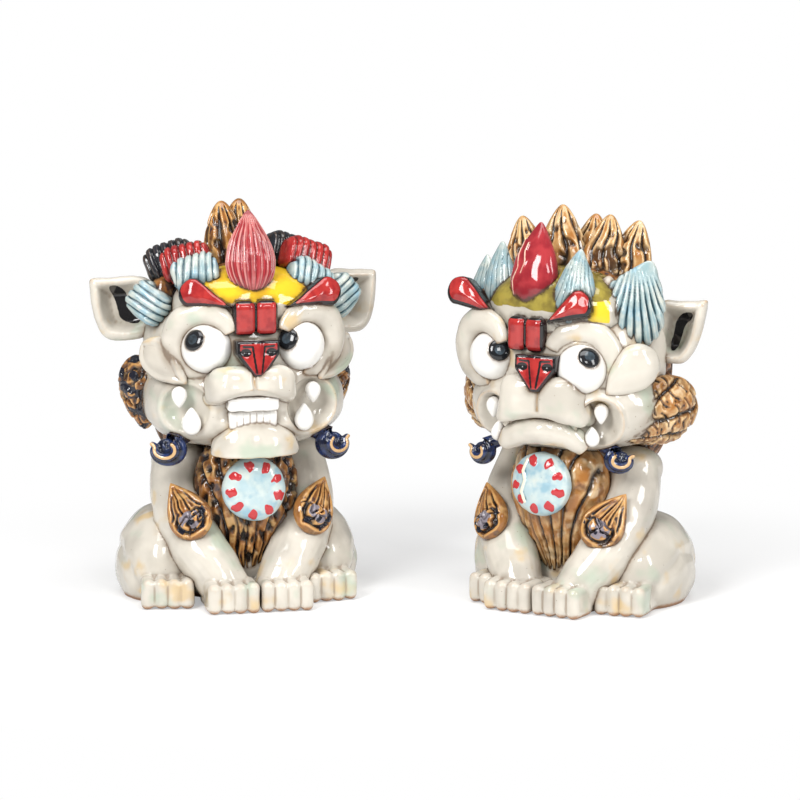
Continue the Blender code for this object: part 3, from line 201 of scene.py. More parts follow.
@dataclass(frozen=True)
class Glaze:
    """A fired glaze, and what it does where it lies even, runs thin or pools, and the dark seam line and
    painted shade where it meets another piece.
    """

    name: str
    body: Colour
    cloud: Colour
    thin: Colour
    pool: Colour
    paint: Colour = (0.9, 0.88, 0.84)
    ink: Colour = (0.012, 0.011, 0.012)
    # The seam line's colour: partly glaze pooled at the joint, partly painted contact shade.
    seam: Colour = (0.045, 0.024, 0.012)
    cloud_grain: float = 9.0
    thin_from: float = 0.16
    thin_to: float = 0.60
    thin_share: float = 0.75
    pool_from: float = 0.06
    pool_to: float = 0.40
    pool_share: float = 0.8
    seam_share: float = 0.9
    speck_share: float = 0.7
    roughness: float = 0.07
    ripple: float = 0.10
    stains: tuple[Stain, ...] = ()
    slot: str = ""

    def material(self) -> bpy.types.Material:
        """The finish as a material, made once."""
        fired = f"fired_{self.name}"
        if fired in bpy.data.materials:
            return bpy.data.materials[fired]
        bench = Bench(bpy.data.materials.new(fired))
        spot = bench.node("ShaderNodeTexCoord", {}, {}, "Object")
        coarse = bench.noise(spot, self.cloud_grain, 3.0)
        fine = bench.noise(bench.drifting(spot, 3), FINE_GRAIN)
        curve = bench.mark("edge")
        groove = bench.mark("groove")
        colour = bench.mix(self.body, self.cloud, coarse.step(0.38, 0.66))
        for number, stain in enumerate(self.stains):
            patch = bench.noise(bench.drifting(spot, 7 + 5 * number), stain.grain, 2.5)
            colour = bench.mix(colour, stain.colour, patch.step(stain.low, stain.high) * stain.share)
        hollow = curve.step(-self.pool_from, -self.pool_to)
        pooled = bench.maths("MAXIMUM", hollow * self.pool_share, groove * self.pool_share)
        worn = curve + (fine - 0.5) * 0.22 + (coarse - 0.5) * 0.25
        colour = bench.mix(colour, self.thin, worn.step(self.thin_from, self.thin_to) * self.thin_share)
        colour = bench.mix(colour, self.pool, pooled)
        paint = bench.mark("paint") + (fine - 0.5) * 0.25
        colour = bench.mix(colour, self.paint, paint.step(0.35, 0.65))
        bare = bench.mark("bare") + (fine - 0.5) * 0.20
        colour = bench.mix(colour, BARE_CLAY, bare.step(0.3, 0.6))
        ink = bench.mark("ink") + (fine - 0.5) * 0.20
        colour = bench.mix(colour, self.ink, ink.step(0.35, 0.62))
        cells = {"Vector": spot, "Scale": 1 / (PINHOLE_PITCH * MM), "Randomness": 1.0}
        dots = bench.node("ShaderNodeTexVoronoi", {}, cells, "Distance")
        specks = dots.step(0.085, 0.04) * coarse.step(0.44, 0.56)
        colour = bench.mix(colour, PINHOLE_BROWN, specks * self.speck_share)
        # Near another piece: a broad painted shade in the pool colour, then a dark seam line that is partly
        # glaze pooled at the joint and partly painted contact shade.
        close = bench.mark("seam")
        shade = close.step(0.15, 0.95) * coarse.step(0.25, 0.60)
        colour = bench.mix(colour, self.pool, shade * 0.45)
        seam = close + (fine - 0.5) * 0.22 + (coarse - 0.5) * 0.34
        seam = seam.step(0.78, 0.98) * self.seam_share
        colour = bench.mix(colour, self.seam, seam)
        height = bench.node("ShaderNodeSeparateXYZ", {}, {"Vector": spot}, "Z")
        foot = (height + (fine - 0.5) * FOOT_UNEVEN).step(FOOT_CLEAR, FOOT_TOASTED)
        colour = bench.mix(colour, TOASTED, foot * 0.9)
        gloss = self.roughness + (fine - 0.5) * 0.05 + foot * 0.5 + seam * 0.10
        waves = bench.noise(bench.drifting(spot, 2), RIPPLE_GRAIN, 1.0) * self.ripple
        relief = {"Strength": 0.5, "Distance": RIPPLE_DEPTH, "Height": waves - specks * 0.35}
        bump = bench.node("ShaderNodeBump", {}, relief, "Normal")
        shader = {"Base Color": colour, "Roughness": gloss, "Normal": bump, "IOR": 1.5}
        lit = bench.node("ShaderNodeBsdfPrincipled", {}, shader)
        bench.node("ShaderNodeOutputMaterial", {}, {"Surface": lit})
        return bench.owner


IVORY = Glaze(
    "ivory_glaze", (0.57, 0.53, 0.46), (0.47, 0.435, 0.375), (0.46, 0.27, 0.12), (0.20, 0.14, 0.09),
    paint=(0.38, 0.24, 0.11), seam=(0.12, 0.07, 0.035), cloud_grain=14, thin_from=0.24, thin_to=0.85,
    thin_share=0.55, pool_to=0.55, pool_share=0.62, seam_share=0.72,
    stains=(
        Stain((0.34, 0.43, 0.33), 16, 0.55, 0.70, 0.60),
        Stain((0.56, 0.38, 0.15), 12, 0.58, 0.73, 0.65),
        Stain((0.37, 0.34, 0.30), 20, 0.52, 0.72, 0.45),
    ),
)
WHITE = Glaze(
    "white_glaze", (0.80, 0.79, 0.76), (0.74, 0.73, 0.70), (0.74, 0.70, 0.64), (0.36, 0.30, 0.25),
    seam=(0.13, 0.09, 0.06), cloud_grain=12, thin_share=0.2, speck_share=0.15, seam_share=0.75,
    roughness=0.05, ripple=0.03,
)
BLACK = Glaze(
    "black_glaze", (0.010, 0.012, 0.015), (0.02, 0.022, 0.03), (0.16, 0.10, 0.06), (0.006, 0.006, 0.006),
    paint=(0.075, 0.105, 0.13), seam=(0.01, 0.01, 0.01), thin_from=0.25, thin_to=0.9, thin_share=0.6,
    speck_share=0.0, roughness=0.05, ripple=0.04, slot="cobalt_glaze",
)
RED = Glaze(
    "red_glaze", (0.36, 0.028, 0.025), (0.25, 0.015, 0.016), (0.55, 0.20, 0.15), (0.06, 0.006, 0.006),
    seam=(0.015, 0.010, 0.010), cloud_grain=4, thin_from=0.40, thin_to=1.1, thin_share=0.45,
    speck_share=0.2,
)
ROSE = Glaze(
    "rose_glaze", (0.34, 0.032, 0.038), (0.23, 0.015, 0.022), (0.68, 0.33, 0.30), (0.10, 0.006, 0.010),
    paint=(0.74, 0.50, 0.38), cloud_grain=6, thin_to=0.75, thin_share=0.7,
    speck_share=0.25, pool_from=0.10, pool_to=0.7, pool_share=0.85,
)
SKY = Glaze(
    "sky_glaze", (0.37, 0.49, 0.52), (0.50, 0.57, 0.55), (0.64, 0.61, 0.52), (0.025, 0.075, 0.10),
    paint=(0.44, 0.030, 0.035), cloud_grain=5, thin_from=0.28, thin_to=1.0, thin_share=0.55,
    pool_from=0.08, pool_to=0.5, pool_share=0.92, speck_share=0.3,
    stains=(Stain((0.20, 0.36, 0.45), 6, 0.50, 0.68, 0.75), Stain((0.58, 0.58, 0.50), 7, 0.55, 0.7, 0.6)),
)
HAZE = replace(
    SKY, name="haze_glaze", body=(0.24, 0.34, 0.355), cloud=(0.36, 0.41, 0.39), thin=(0.60, 0.60, 0.52),
    pool=(0.015, 0.055, 0.075), pool_from=0.04, pool_to=0.38, thin_from=0.22, thin_to=0.85,
    slot="sky_glaze",
)
AMBER = Glaze(
    "amber_glaze", (0.25, 0.095, 0.024), (0.085, 0.032, 0.012), (0.58, 0.31, 0.105), (0.010, 0.008, 0.008),
    paint=(0.20, 0.175, 0.20), ink=(0.012, 0.013, 0.022), cloud_grain=4.5, thin_from=0.08,
    thin_share=0.85, pool_from=0.0, pool_to=0.26, pool_share=0.97, speck_share=0.5, roughness=0.08,
    ripple=0.4,
    stains=(
        Stain((0.62, 0.40, 0.17), 5, 0.54, 0.66, 0.65),
        Stain((0.022, 0.020, 0.032), 5, 0.58, 0.66, 0.88),
    ),
)
HONEY = replace(
    AMBER, name="honey_glaze", body=(0.34, 0.14, 0.036), cloud=(0.44, 0.25, 0.10), thin=(0.68, 0.47, 0.24),
    pool=(0.016, 0.011, 0.009), slot="amber_glaze",
    stains=(
        Stain((0.66, 0.52, 0.34), 6, 0.55, 0.68, 0.75),
        Stain((0.16, 0.062, 0.018), 5, 0.56, 0.68, 0.80),
    ),
)
COBALT = Glaze(
    "cobalt_glaze", (0.016, 0.032, 0.105), (0.008, 0.011, 0.028), (0.46, 0.27, 0.12), (0.006, 0.006, 0.010),
    paint=(0.52, 0.33, 0.16), cloud_grain=3, thin_from=0.7, thin_to=1.5, thin_share=0.5,
    speck_share=0.1, roughness=0.06,
)
YELLOW = Glaze(
    "yellow_glaze", (0.68, 0.45, 0.022), (0.60, 0.35, 0.018), (0.76, 0.60, 0.25), (0.20, 0.09, 0.02),
    paint=(0.50, 0.465, 0.40), cloud_grain=7, thin_share=0.3, speck_share=0.4, slot="amber_glaze",
)
OLIVE = Glaze(
    "olive_glaze", (0.30, 0.24, 0.045), (0.19, 0.145, 0.03), (0.50, 0.41, 0.11), (0.06, 0.045, 0.02),
    paint=(0.50, 0.465, 0.40), ink=(0.72, 0.50, 0.03), cloud_grain=5, thin_share=0.4, speck_share=0.5,
    slot="amber_glaze",
)


# Lumps of clay, each about its own middle


def shown(name: str, data: bpy.types.ID) -> bpy.types.Object:
    """A new object of that mesh, lamp or camera in the scene."""
    made = bpy.data.objects.new(name, data)
    bpy.context.scene.collection.objects.link(made)
    return made


def shift(x: float = 0.0, y: float = 0.0, z: float = 0.0) -> Matrix:
    """Move by so many millimetres."""
    return Matrix.Translation((x, y, z))


def at(spot: Sequence[float]) -> Matrix:
    """Move to a spot."""
    return Matrix.Translation(spot)


def facing(azimuth: float = 0.0, lean: float = 0.0, tilt: float = 0.0) -> Matrix:
    """Turn a lump, in degrees: its face round by azimuth, its top back by lean, sideways by tilt."""
    turn = Matrix.Rotation(math.radians(azimuth), 4, "Z")
    back = Matrix.Rotation(math.radians(-lean), 4, "X")
    return turn @ back @ Matrix.Rotation(math.radians(tilt), 4, "Y")


def ball(size: Triple, blunt: float = 2.0, around: int = 72, rings: int = 48) -> Lump:
    """A ball pressed to three widths, squarer than a ball if blunt is over 2.

    Args:
        size: The three widths.
        blunt: 2 for an egg, more for a pillow.
        around: Points round the middle.
        rings: Rings from top to bottom.

    Returns:
        The lump.
    """
    lump = bmesh.new()
    bmesh.ops.create_uvsphere(lump, u_segments=around, v_segments=rings, radius=0.5)
    for vert in lump.verts:
        vert.co /= sum(abs(2 * axis) ** blunt for axis in vert.co) ** (1 / blunt)
    bmesh.ops.scale(lump, vec=tuple(size), verts=lump.verts)
    return lump


def teardrop(
    size: Triple, point: float = 0.75, flutes: int = 0, depth: float = 0.0,
    around: int = 120, rings: int = 80,
) -> Lump:
    """A drop that is pinched towards its top, with rounded ridges and sharp grooves along it.

    Args:
        size: Its three widths.
        point: How much of the width goes by the tip.
        flutes: Grooves round it, or 0.
        depth: The grooves' depth, as a share of the radius.
        around: Points round the middle.
        rings: Rings from top to bottom.

    Returns:
        The lump.
    """
    lump = bmesh.new()
    bmesh.ops.create_uvsphere(lump, u_segments=around, v_segments=rings, radius=0.5)
    for vert in lump.verts:
        pinch = 1 - point * (vert.co.z + 0.5) ** 2
        angle = math.atan2(vert.co.y, vert.co.x)
        crest = abs(math.cos(angle * flutes / 2)) ** 0.6 if flutes else 1.0
        radial = pinch * (1 - depth * (1 - crest))
        vert.co.x *= radial
        vert.co.y *= radial
    bmesh.ops.scale(lump, vec=tuple(size), verts=lump.verts)
    return lump


def rolled_over(
    lump: Lump, edges: list[bmesh.types.BMEdge], rounding: float, segments: int,
) -> Lump:
    """Round some edges of a lump.

    Args:
        lump: The lump.
        edges: The edges to round.
        rounding: How far in the round starts.
        segments: Strips in the round.

    Returns:
        The lump.
    """
    bmesh.ops.bevel(
        lump, geom=edges, offset=rounding, segments=segments, profile=0.5, affect="EDGES", material=-1,
    )
    return lump


def sliced(lump: Lump, spot: Triple, away: Triple) -> Lump:
    """Cut a lump flat through a spot and take off the side that away points to.

    Args:
        lump: The lump.
        spot: A point of the cut.
        away: The side that comes off.

    Returns:
        The lump.
    """
    whole = lump.verts[:] + lump.edges[:] + lump.faces[:]
    cut = bmesh.ops.bisect_plane(lump, geom=whole, plane_co=spot, plane_no=away, clear_outer=True)
    rim = [item for item in cut["geom_cut"] if isinstance(item, bmesh.types.BMEdge)]
    bmesh.ops.holes_fill(lump, edges=rim, sides=0)
    return lump


def block(size: Triple, rounding: float, segments: int = 5) -> Lump:
    """A slab with rolled edges.

    Args:
        size: Its three widths.
        rounding: How far in the round starts.
        segments: Strips in the round.

    Returns:
        The lump.
    """
    lump = bmesh.new()
    bmesh.ops.create_cube(lump, size=1)
    bmesh.ops.scale(lump, vec=tuple(size), verts=lump.verts)
    return rolled_over(lump, lump.edges[:], rounding, segments)


def plate(outline: Iterable[Point], thickness: float, rounding: float) -> Lump:
    """A flat outline in X and Z, as thick as that along Y, with rounded rims.

    Args:
        outline: Its (x, z) corners in turn.
        thickness: Its depth along Y.
        rounding: How far in the round starts.

    Returns:
        The lump.
    """
    lump = bmesh.new()
    rim = [lump.verts.new((x, -thickness / 2, z)) for x, z in outline]
    front = lump.faces.new(rim)
    back = bmesh.ops.extrude_face_region(lump, geom=[front])["geom"]
    moved = [item for item in back if isinstance(item, bmesh.types.BMVert)]
    bmesh.ops.translate(lump, vec=(0, thickness, 0), verts=moved)
    bmesh.ops.recalc_face_normals(lump, faces=lump.faces)
    rims = [edge for edge in lump.edges if abs(edge.verts[0].co.y - edge.verts[1].co.y) < 0.001]
    return rolled_over(lump, rims, rounding, 4)


def coil(path: Sequence[Vector], radii: Sequence[float], sides: int = 24) -> Lump:
    """A roll of clay along a path, thicker or thinner from point to point.

    Args:
        path: The points of its middle line.
        radii: Its radius at each.
        sides: Points round it.

    Returns:
        The lump.
    """
    lump = bmesh.new()
    along = [(path[min(i + 1, len(path) - 1)] - path[max(i - 1, 0)]).normalized() for i in range(len(path))]
    turn = Vector((0, 0, 1)).rotation_difference(along[0])
    loops = []
    for number, (point, radius) in enumerate(zip(path, radii)):
        if number:
            turn = along[number - 1].rotation_difference(along[number]) @ turn
        place = at(point) @ turn.to_matrix().to_4x4()
        ring = bmesh.ops.create_circle(lump, segments=sides, radius=radius, matrix=place)["verts"]
        loops.append({edge for vert in ring for edge in vert.link_edges})
    for one, other in zip(loops, loops[1:]):
        bmesh.ops.bridge_loops(lump, edges=list(one | other))
    bmesh.ops.holes_fill(lump, edges=list(loops[0] | loops[-1]), sides=0)
    bmesh.ops.recalc_face_normals(lump, faces=lump.faces)
    return lump


LEAF_SKEW = 0.25


def leaf(size: Triple) -> Lump:
    """A lump pointed at both ends, widest nearer to +X.

    Args:
        size: Its three widths.

    Returns:
        The lump.
    """
    lump = ball((2, 2, 2), 2.2, 96, 64)
    for vert in lump.verts:
        run = min(abs(vert.co.x), 1.0)
        narrow = (1 - run ** 2) ** 0.42
        vert.co.z *= narrow
        vert.co.y *= 0.35 + 0.65 * narrow
        vert.co.x += LEAF_SKEW * (1 - run ** 2)
    bmesh.ops.scale(lump, vec=[side / 2 for side in size], verts=lump.verts)
    return lump


def lathe(profile: Sequence[Point], steps: int = 96, ring: bool = False) -> Lump:
    """A turned lump from (radius, height) points. A ring's last point joins its first.

    Args:
        profile: The points in turn.
        steps: How many turns make the round.
        ring: Whether the last point joins the first.

    Returns:
        The lump.
    """
    lump = bmesh.new()
    line = [lump.verts.new((radius, 0, height)) for radius, height in profile]
    edges = [lump.edges.new(pair) for pair in zip(line, line[1:])]
    if ring:
        edges.append(lump.edges.new((line[-1], line[0])))
    bmesh.ops.spin(
        lump, geom=line + edges, axis=(0, 0, 1), cent=(0, 0, 0), angle=2 * math.pi, steps=steps,
        use_merge=True,
    )
    bmesh.ops.remove_doubles(lump, verts=lump.verts, dist=0.001)
    bmesh.ops.recalc_face_normals(lump, faces=lump.faces)
    return lump


def bezier(points: Sequence[Vector], count: int) -> list[Vector]:
    """Points along a cubic curve through its four control points.

    Args:
        points: The four control points.
        count: How many points to make.

    Returns:
        The points.
    """
    start, first, second, end = points
    made = []
    for i in range(count):
        t = i / (count - 1)
        s = 1 - t
        made.append(start * s ** 3 + first * 3 * s * s * t + second * 3 * s * t * t + end * t ** 3)
    return made


def swell(count: int, base: float, middle: float, tip: float) -> list[float]:
    """Radii along a roll: both ends fade to a quarter halfway, where middle is added."""
    steps = [i / (count - 1) for i in range(count)]
    return [base * (1 - t) ** 2 + middle * 4 * t * (1 - t) + tip * t ** 2 for t in steps]


def roll(points: Sequence[Vector], count: int, base: float, middle: float, tip: float) -> Lump:
    """A roll of clay along a cubic curve, with the radii that swell gives."""
    return coil(bezier(points, count), swell(count, base, middle, tip))


def arc(radius: float, start: float, end: float, count: int) -> list[Vector]:
    """Points of a circle in XZ between two angles in degrees, counted from +X towards +Z."""
    angles = [math.radians(start + (end - start) * i / (count - 1)) for i in range(count)]
    return [Vector((radius * math.cos(angle), 0, radius * math.sin(angle))) for angle in angles]


def softened(points: Sequence[Point], passes: int = 2) -> list[Point]:
    """An outline with its corners cut off, again and again.

    Args:
        points: Its corners in turn.
        passes: How many times.

    Returns:
        The softer outline.
    """
    for _ in range(passes):
        cut: list[Point] = []
        for (ax, az), (bx, bz) in zip(points, [*points[1:], points[0]]):
            cut.append((ax * 0.75 + bx * 0.25, az * 0.75 + bz * 0.25))
            cut.append((ax * 0.25 + bx * 0.75, az * 0.25 + bz * 0.75))
        points = cut
    return list(points)


def wobble(points: np.ndarray, wavelength: float, seed: int) -> np.ndarray:
    """Smooth unevenness of about -1 to 1, the same each time, with waves of about that length.

    Args:
        points: Where to read it.
        wavelength: About how long the waves are.
        seed: Which unevenness.

    Returns:
        Its height at each point.
    """
    random = np.random.default_rng(seed)
    total = np.zeros(len(points))
    for _ in range(7):
        direction = random.normal(size=3)
        direction *= 2 * math.pi / wavelength * random.uniform(0.6, 1.5) / np.linalg.norm(direction)
        total += np.sin(points @ direction + random.uniform(0, 2 * math.pi))
    return total / 3.2


def ramp(values: np.ndarray, low: float, high: float) -> np.ndarray:
    """Rise softly from 0 to 1 between two values, or fall if low is the larger."""
    share = np.clip((values - low) / (high - low), 0, 1)
    return share * share * (3 - 2 * share)


def within(u: np.ndarray, v: np.ndarray, outline: Sequence[Point]) -> np.ndarray:
    """How far each (u, v) lies inside an outline, in millimetres, and negative outside.

    Args:
        u: Places across.
        v: Places up.
        outline: Its corners in turn.

    Returns:
        The distances.
    """
    near = beside(u, v, [*outline, outline[0]])
    inside = np.zeros(len(u), bool)
    for (ax, az), (bx, bz) in zip(outline, [*outline[1:], outline[0]]):
        climb = bz - az if abs(bz - az) > TINY else TINY
        inside ^= ((az > v) != (bz > v)) & (u < (v - az) * (bx - ax) / climb + ax)
    return np.where(inside, near, -near)


def beside(u: np.ndarray, v: np.ndarray, line: Sequence[Point]) -> np.ndarray:
    """How far each (u, v) is from an open line of points.

    Args:
        u: Places across.
        v: Places up.
        line: Its points in turn.

    Returns:
        The distances.
    """
    near = np.full(len(u), FAR)
    for (ax, az), (bx, bz) in zip(line, line[1:]):
        dx, dz = bx - ax, bz - az
        share = np.clip(((u - ax) * dx + (v - az) * dz) / max(dx * dx + dz * dz, TINY), 0, 1)
        near = np.minimum(near, np.hypot(u - ax - share * dx, v - az - share * dz))
    return near


@dataclass
class View:
    """A skin as it looks from the front of a lump: across, up, towards the eye, and how square on."""

    u: np.ndarray
    v: np.ndarray
    near: np.ndarray
    square: np.ndarray


class Skin:
    """A surface whose points can still be pressed, and that carries marks for its glaze."""

    def __init__(self, mesh: bpy.types.Mesh) -> None:
        """Read a mesh."""
        self.mesh = mesh
        self.points = np.empty(len(mesh.vertices) * 3)
        mesh.vertices.foreach_get("co", self.points)
        self.points = self.points.reshape(-1, 3)
        ends = np.empty(len(mesh.edges) * 2, np.int32)
        mesh.edges.foreach_get("vertices", ends)
        self.edges = ends.reshape(-1, 2)
        self.marks: dict[str, np.ndarray] = {}
        self.normals = np.empty_like(self.points)
        self.sync()

    def sync(self) -> None:
        """Write the points back and work out the normals again."""
        self.mesh.vertices.foreach_set("co", self.points.ravel())
        self.mesh.update()
        flat = np.empty(self.points.size)
        self.mesh.vertex_normals.foreach_get("vector", flat)
        self.normals = flat.reshape(-1, 3)

    def seen(self, place: Matrix) -> View:
        """Look at the skin in the frame of a lump that lies at that place.

        Args:
            place: Where the lump is, its front towards its own -Y.

        Returns:
            The view of every point.
        """
        back = np.array(place.inverted())
        local = self.points @ back[:3, :3].T + back[:3, 3]
        toward = self.normals @ back[:3, :3].T
        return View(local[:, 0], local[:, 2], -local[:, 1], -toward[:, 1])

    def push(self, amount: np.ndarray, direction: Vector | None = None) -> "Skin":
        """Move each point out along its normal, or along one direction.

        Args:
            amount: How far each point goes, in millimetres.
            direction: Where to, if not outwards.

        Returns:
            The skin.
        """
        if direction is None:
            self.points += self.normals * amount[:, None]
        else:
            self.points += np.outer(amount, np.array(direction))
        self.sync()
        return self

    def press(self, wave: float, depth: float, seed: int) -> "Skin":
        """Leave the unevenness of fingers, in waves of about that length."""
        return self.push(wobble(self.points, wave, seed) * depth)

    def spread(self, values: np.ndarray, passes: int) -> np.ndarray:
        """Average values over neighbouring points.

        Args:
            values: One for each point.
            passes: How many times.

        Returns:
            The averages.
        """
        one, other = self.edges.T
        count = len(self.points)
        shared = np.bincount(one, minlength=count) + np.bincount(other, minlength=count) + 1.0
        for _ in range(passes):
            total = values + np.bincount(one, values[other], count) + np.bincount(other, values[one], count)
            values = total / shared
        return values

    def ease(self, passes: int, share: np.ndarray | None = None) -> "Skin":
        """Rub the surface smooth, all over or by the share given for each point.

        Args:
            passes: How many times.
            share: How much of it each point takes, if not all.

        Returns:
            The skin.
        """
        rubbed = np.stack([self.spread(self.points[:, axis], passes) for axis in range(3)], axis=1)
        self.points += (rubbed - self.points) * (1.0 if share is None else share[:, None])
        self.sync()
        return self

    def hollow(self, place: Matrix, radii: Sequence[float], rim: float = 0.0) -> np.ndarray:
        """Scoop out what of the surface lies in an egg-shaped tool, and raise a rim round it.

        Args:
            place: Where the tool is. It goes in along its own +Y.
            radii: The tool's half widths.
            rim: How far the clay stands up round the scoop.

        Returns:
            How deep in the scoop each point is, 0 at its edge and 1 at its middle.
        """
        view = self.seen(place)
        wide, deep, high = radii
        off = np.hypot(view.u / wide, view.v / high)
        floor = deep * np.sqrt(np.clip(1 - off ** 2, 0, None))
        facing_out = (view.square > -0.2) & (view.near > -deep)
        sunk = np.where(facing_out & (off < 1), np.clip(view.near + floor, 0, None), 0)
        ahead = place.to_3x3() @ Vector((0, 1, 0))
        self.points += np.outer(sunk, np.array(ahead))
        if rim:
            lift = rim * np.exp(-((off - 1.12) / 0.14) ** 2) * facing_out
            self.points -= np.outer(lift, np.array(ahead))
        self.sync()
        inside = np.where(facing_out, np.clip(1 - off, 0, 1), 0)
        near_edge = np.exp(-((off - 1.0) / 0.25) ** 2) * facing_out
        self.ease(4, near_edge)
        return inside

    def groove(self, view: View, line: Sequence[Point], width: float, depth: float) -> np.ndarray:
        """Draw a tool along a line on the front.

        Args:
            view: The skin as it is seen from the front.
            line: The tool's way across it.
            width: How far the groove reaches to each side.
            depth: How deep it is in its middle.

        Returns:
            A share of 1 in the middle of the groove and 0 beside it.
        """
        drawn = np.clip(1 - beside(view.u, view.v, line) / width, 0, 1) * ramp(view.square, -0.05, 0.35)
        self.push(-depth * drawn * drawn * (3 - 2 * drawn))
        self.mark("groove", drawn)
        return drawn

    def mark(self, name: str, values: np.ndarray) -> "Skin":
        """Leave a mark for the glaze. Where one is there already the stronger stays."""
        known = self.marks.get(name)
        self.marks[name] = values if known is None else np.maximum(known, values)
        return self

    def curvature(self) -> np.ndarray:
        """How sharply the surface bends, in 1/mm: over 0 on edges and under 0 in hollows."""
        one, other = self.edges.T
        count = len(self.points)
        step = self.points[other] - self.points[one]
        square = np.maximum((step ** 2).sum(1), 0.01)
        bend_one = -2 * (self.normals[one] * step).sum(1) / square
        bend_other = 2 * (self.normals[other] * step).sum(1) / square
        total = np.bincount(one, bend_one, count) + np.bincount(other, bend_other, count)
        shared = np.bincount(one, minlength=count) + np.bincount(other, minlength=count)
        return self.spread(np.clip(total / np.maximum(shared, 1), -2, 2), 3)


class Clay:
    """Lumps that are pressed together and become one skin."""

    def __init__(self) -> None:
        """Start with nothing."""
        self.heap = bmesh.new()

    def press(self, lump: Lump, place: Matrix = Matrix.Identity(4)) -> "Clay":
        """Add a lump at its place."""
        lump.transform(place)
        mesh = bpy.data.meshes.new("lump")
        lump.to_mesh(mesh)
        lump.free()
        self.heap.from_mesh(mesh)
        bpy.data.meshes.remove(mesh)
        return self

    def plain(self) -> Skin:
        """The lumps as they are."""
        mesh = bpy.data.meshes.new("skin")
        self.heap.to_mesh(mesh)
        self.heap.free()
        return Skin(mesh)

    def fused(self, grain: float, rubs: int = 4) -> Skin:
        """The lumps luted into one body.

        Args:
            grain: The distance between the points of the new surface.
            rubs: How often the joints are rubbed smooth.

        Returns:
            The skin of the whole.
        """
        rough = self.plain()
        body = shown("body", rough.mesh)
        lute = body.modifiers.new("lute", "REMESH")
        lute.mode = "VOXEL"
        lute.voxel_size = grain
        rub = body.modifiers.new("rub", "SMOOTH")
        rub.iterations = rubs
        bpy.context.view_layer.update()
        evaluated = body.evaluated_get(bpy.context.evaluated_depsgraph_get())
        mesh = bpy.data.meshes.new_from_object(evaluated)
        bpy.data.objects.remove(body)
        bpy.data.meshes.remove(rough.mesh)
        return Skin(mesh)


@dataclass
class Piece:
    """A skin with its name, its finish and the CAD node that it stands for."""

    name: str
    skin: Skin
    glaze: Glaze
    node: str


@dataclass
class Kiln:
    """Holds one lion's pieces until all are there, then marks their seams and the painted shade beside
    them, and fires them.
    """

    prefix: str
    stand: Matrix
    pieces: list[Piece] = field(default_factory=list)
    seam_width: float = 3.0

    def add(self, name: str, skin: Skin, glaze: Glaze, node: str = "") -> None:
        """Put a finished skin in.

        Args:
            name: The piece's name, without the lion's.
            skin: Its surface.
            glaze: Its finish.
            node: The CAD node that it stands for, if that has another name.
        """
        self.pieces.append(Piece(name, skin, glaze, node or name))

    def mark_seams_and_shade(self) -> None:
        """Mark the points of each piece that lie close to another piece, for the seam line and the painted
        shade there.
        """
        trees, boxes = [], []
        for piece in self.pieces:
            form = bmesh.new()
            form.from_mesh(piece.skin.mesh)
            trees.append(BVHTree.FromBMesh(form))
            form.free()
            low, high = piece.skin.points.min(0), piece.skin.points.max(0)
            boxes.append((low - self.seam_width, high + self.seam_width))
        for number, piece in enumerate(self.pieces):
            points = piece.skin.points
            seam = np.zeros(len(points))
            for other, (tree, (low, high)) in enumerate(zip(trees, boxes)):
                if other == number:
                    continue
                for index in np.flatnonzero(((points > low) & (points < high)).all(1)):
                    distance = tree.find_nearest(points[index].tolist(), self.seam_width)[3]
                    if distance is not None:
                        seam[index] = max(seam[index], 1 - distance / self.seam_width)
            piece.skin.mark("seam", seam)

    def fire(self) -> None:
        """Make the objects, in metres and on the table, and hand them to the frame."""
        self.mark_seams_and_shade()
        turn = np.array(self.stand)
        for piece in self.pieces:
            skin = piece.skin
            skin.mark("edge", np.clip(skin.curvature(), -1.5, 1.5))
            skin.points[:, 2] = np.maximum(skin.points[:, 2], 0)
            skin.points = (skin.points @ turn[:3, :3].T + turn[:3, 3]) * MM
            skin.sync()
            for mark, values in skin.marks.items():
                held = skin.mesh.attributes.new(mark, "FLOAT", "POINT")
                held.data.foreach_set("value", values.astype(np.float32))
            skin.mesh.shade_smooth()
            name = f"{self.prefix}_glazed_{piece.name}"
            skin.mesh.name = name
            skin.mesh.materials.clear()
            skin.mesh.materials.append(piece.glaze.material())
            made = shown(name, skin.mesh)
            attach(made, "root")
            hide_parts(f"{self.prefix}_{piece.node}")
            LOG.info("%s: %d points", name, len(skin.points))


# The lions' sub-assemblies


@dataclass
class Build:
    """The sizes that the pieces of one lion share, and its kiln."""

    kiln: Kiln
    mouth: Matrix = field(default_factory=lambda: Matrix.Identity(4))
    eye_drop: float = 0.0
    nose_drop: float = 0.0
    head: Vector = field(default_factory=lambda: Vector((0, 4, 88)))
    head_radii: Vector = field(default_factory=lambda: Vector((31.5, 28, 34)))
    face: Vector = field(default_factory=lambda: Vector((0, -2, 90)))
    face_radii: Vector = field(default_factory=lambda: Vector((35.5, 30, 28)))
    forehead_front: float = -31.0
    forehead_rise: float = 19.0
    eye_aside: float = 18.6
    eye_rise: float = 6.2
    jaw_size: Triple = (73.0, 52.0, 34.5)
    jaw_forward: float = 11.5
    jaw_drop: float = 14.5
    neck_height: float = 56.0
    bib_size: Triple = (44.0, 31.0, 58.0)
    bib_forward: float = 13.0

    @property
    def chin_front(self) -> float:
        """Where the jaw is foremost."""
        return self.head.y - self.jaw_forward - self.jaw_size[1] / 2

    def on_face(self, x: float, rise: float, lift: float = 0.0) -> Vector:
        """A point on the front of the face, by its place across and above the face's middle."""
        inside = 1 - (x / self.face_radii.x) ** 2 - (rise / self.face_radii.z) ** 2
        depth = self.face_radii.y * math.sqrt(max(inside, 0.0))
        return self.face + Vector((x, -depth - lift, rise))

    def by_head(self, across: float, back: float, up: float) -> Vector:
        """A point by the head, counted in half widths, half depths and half heights."""
        return self.head + Vector((across, back, up)) * self.head_radii


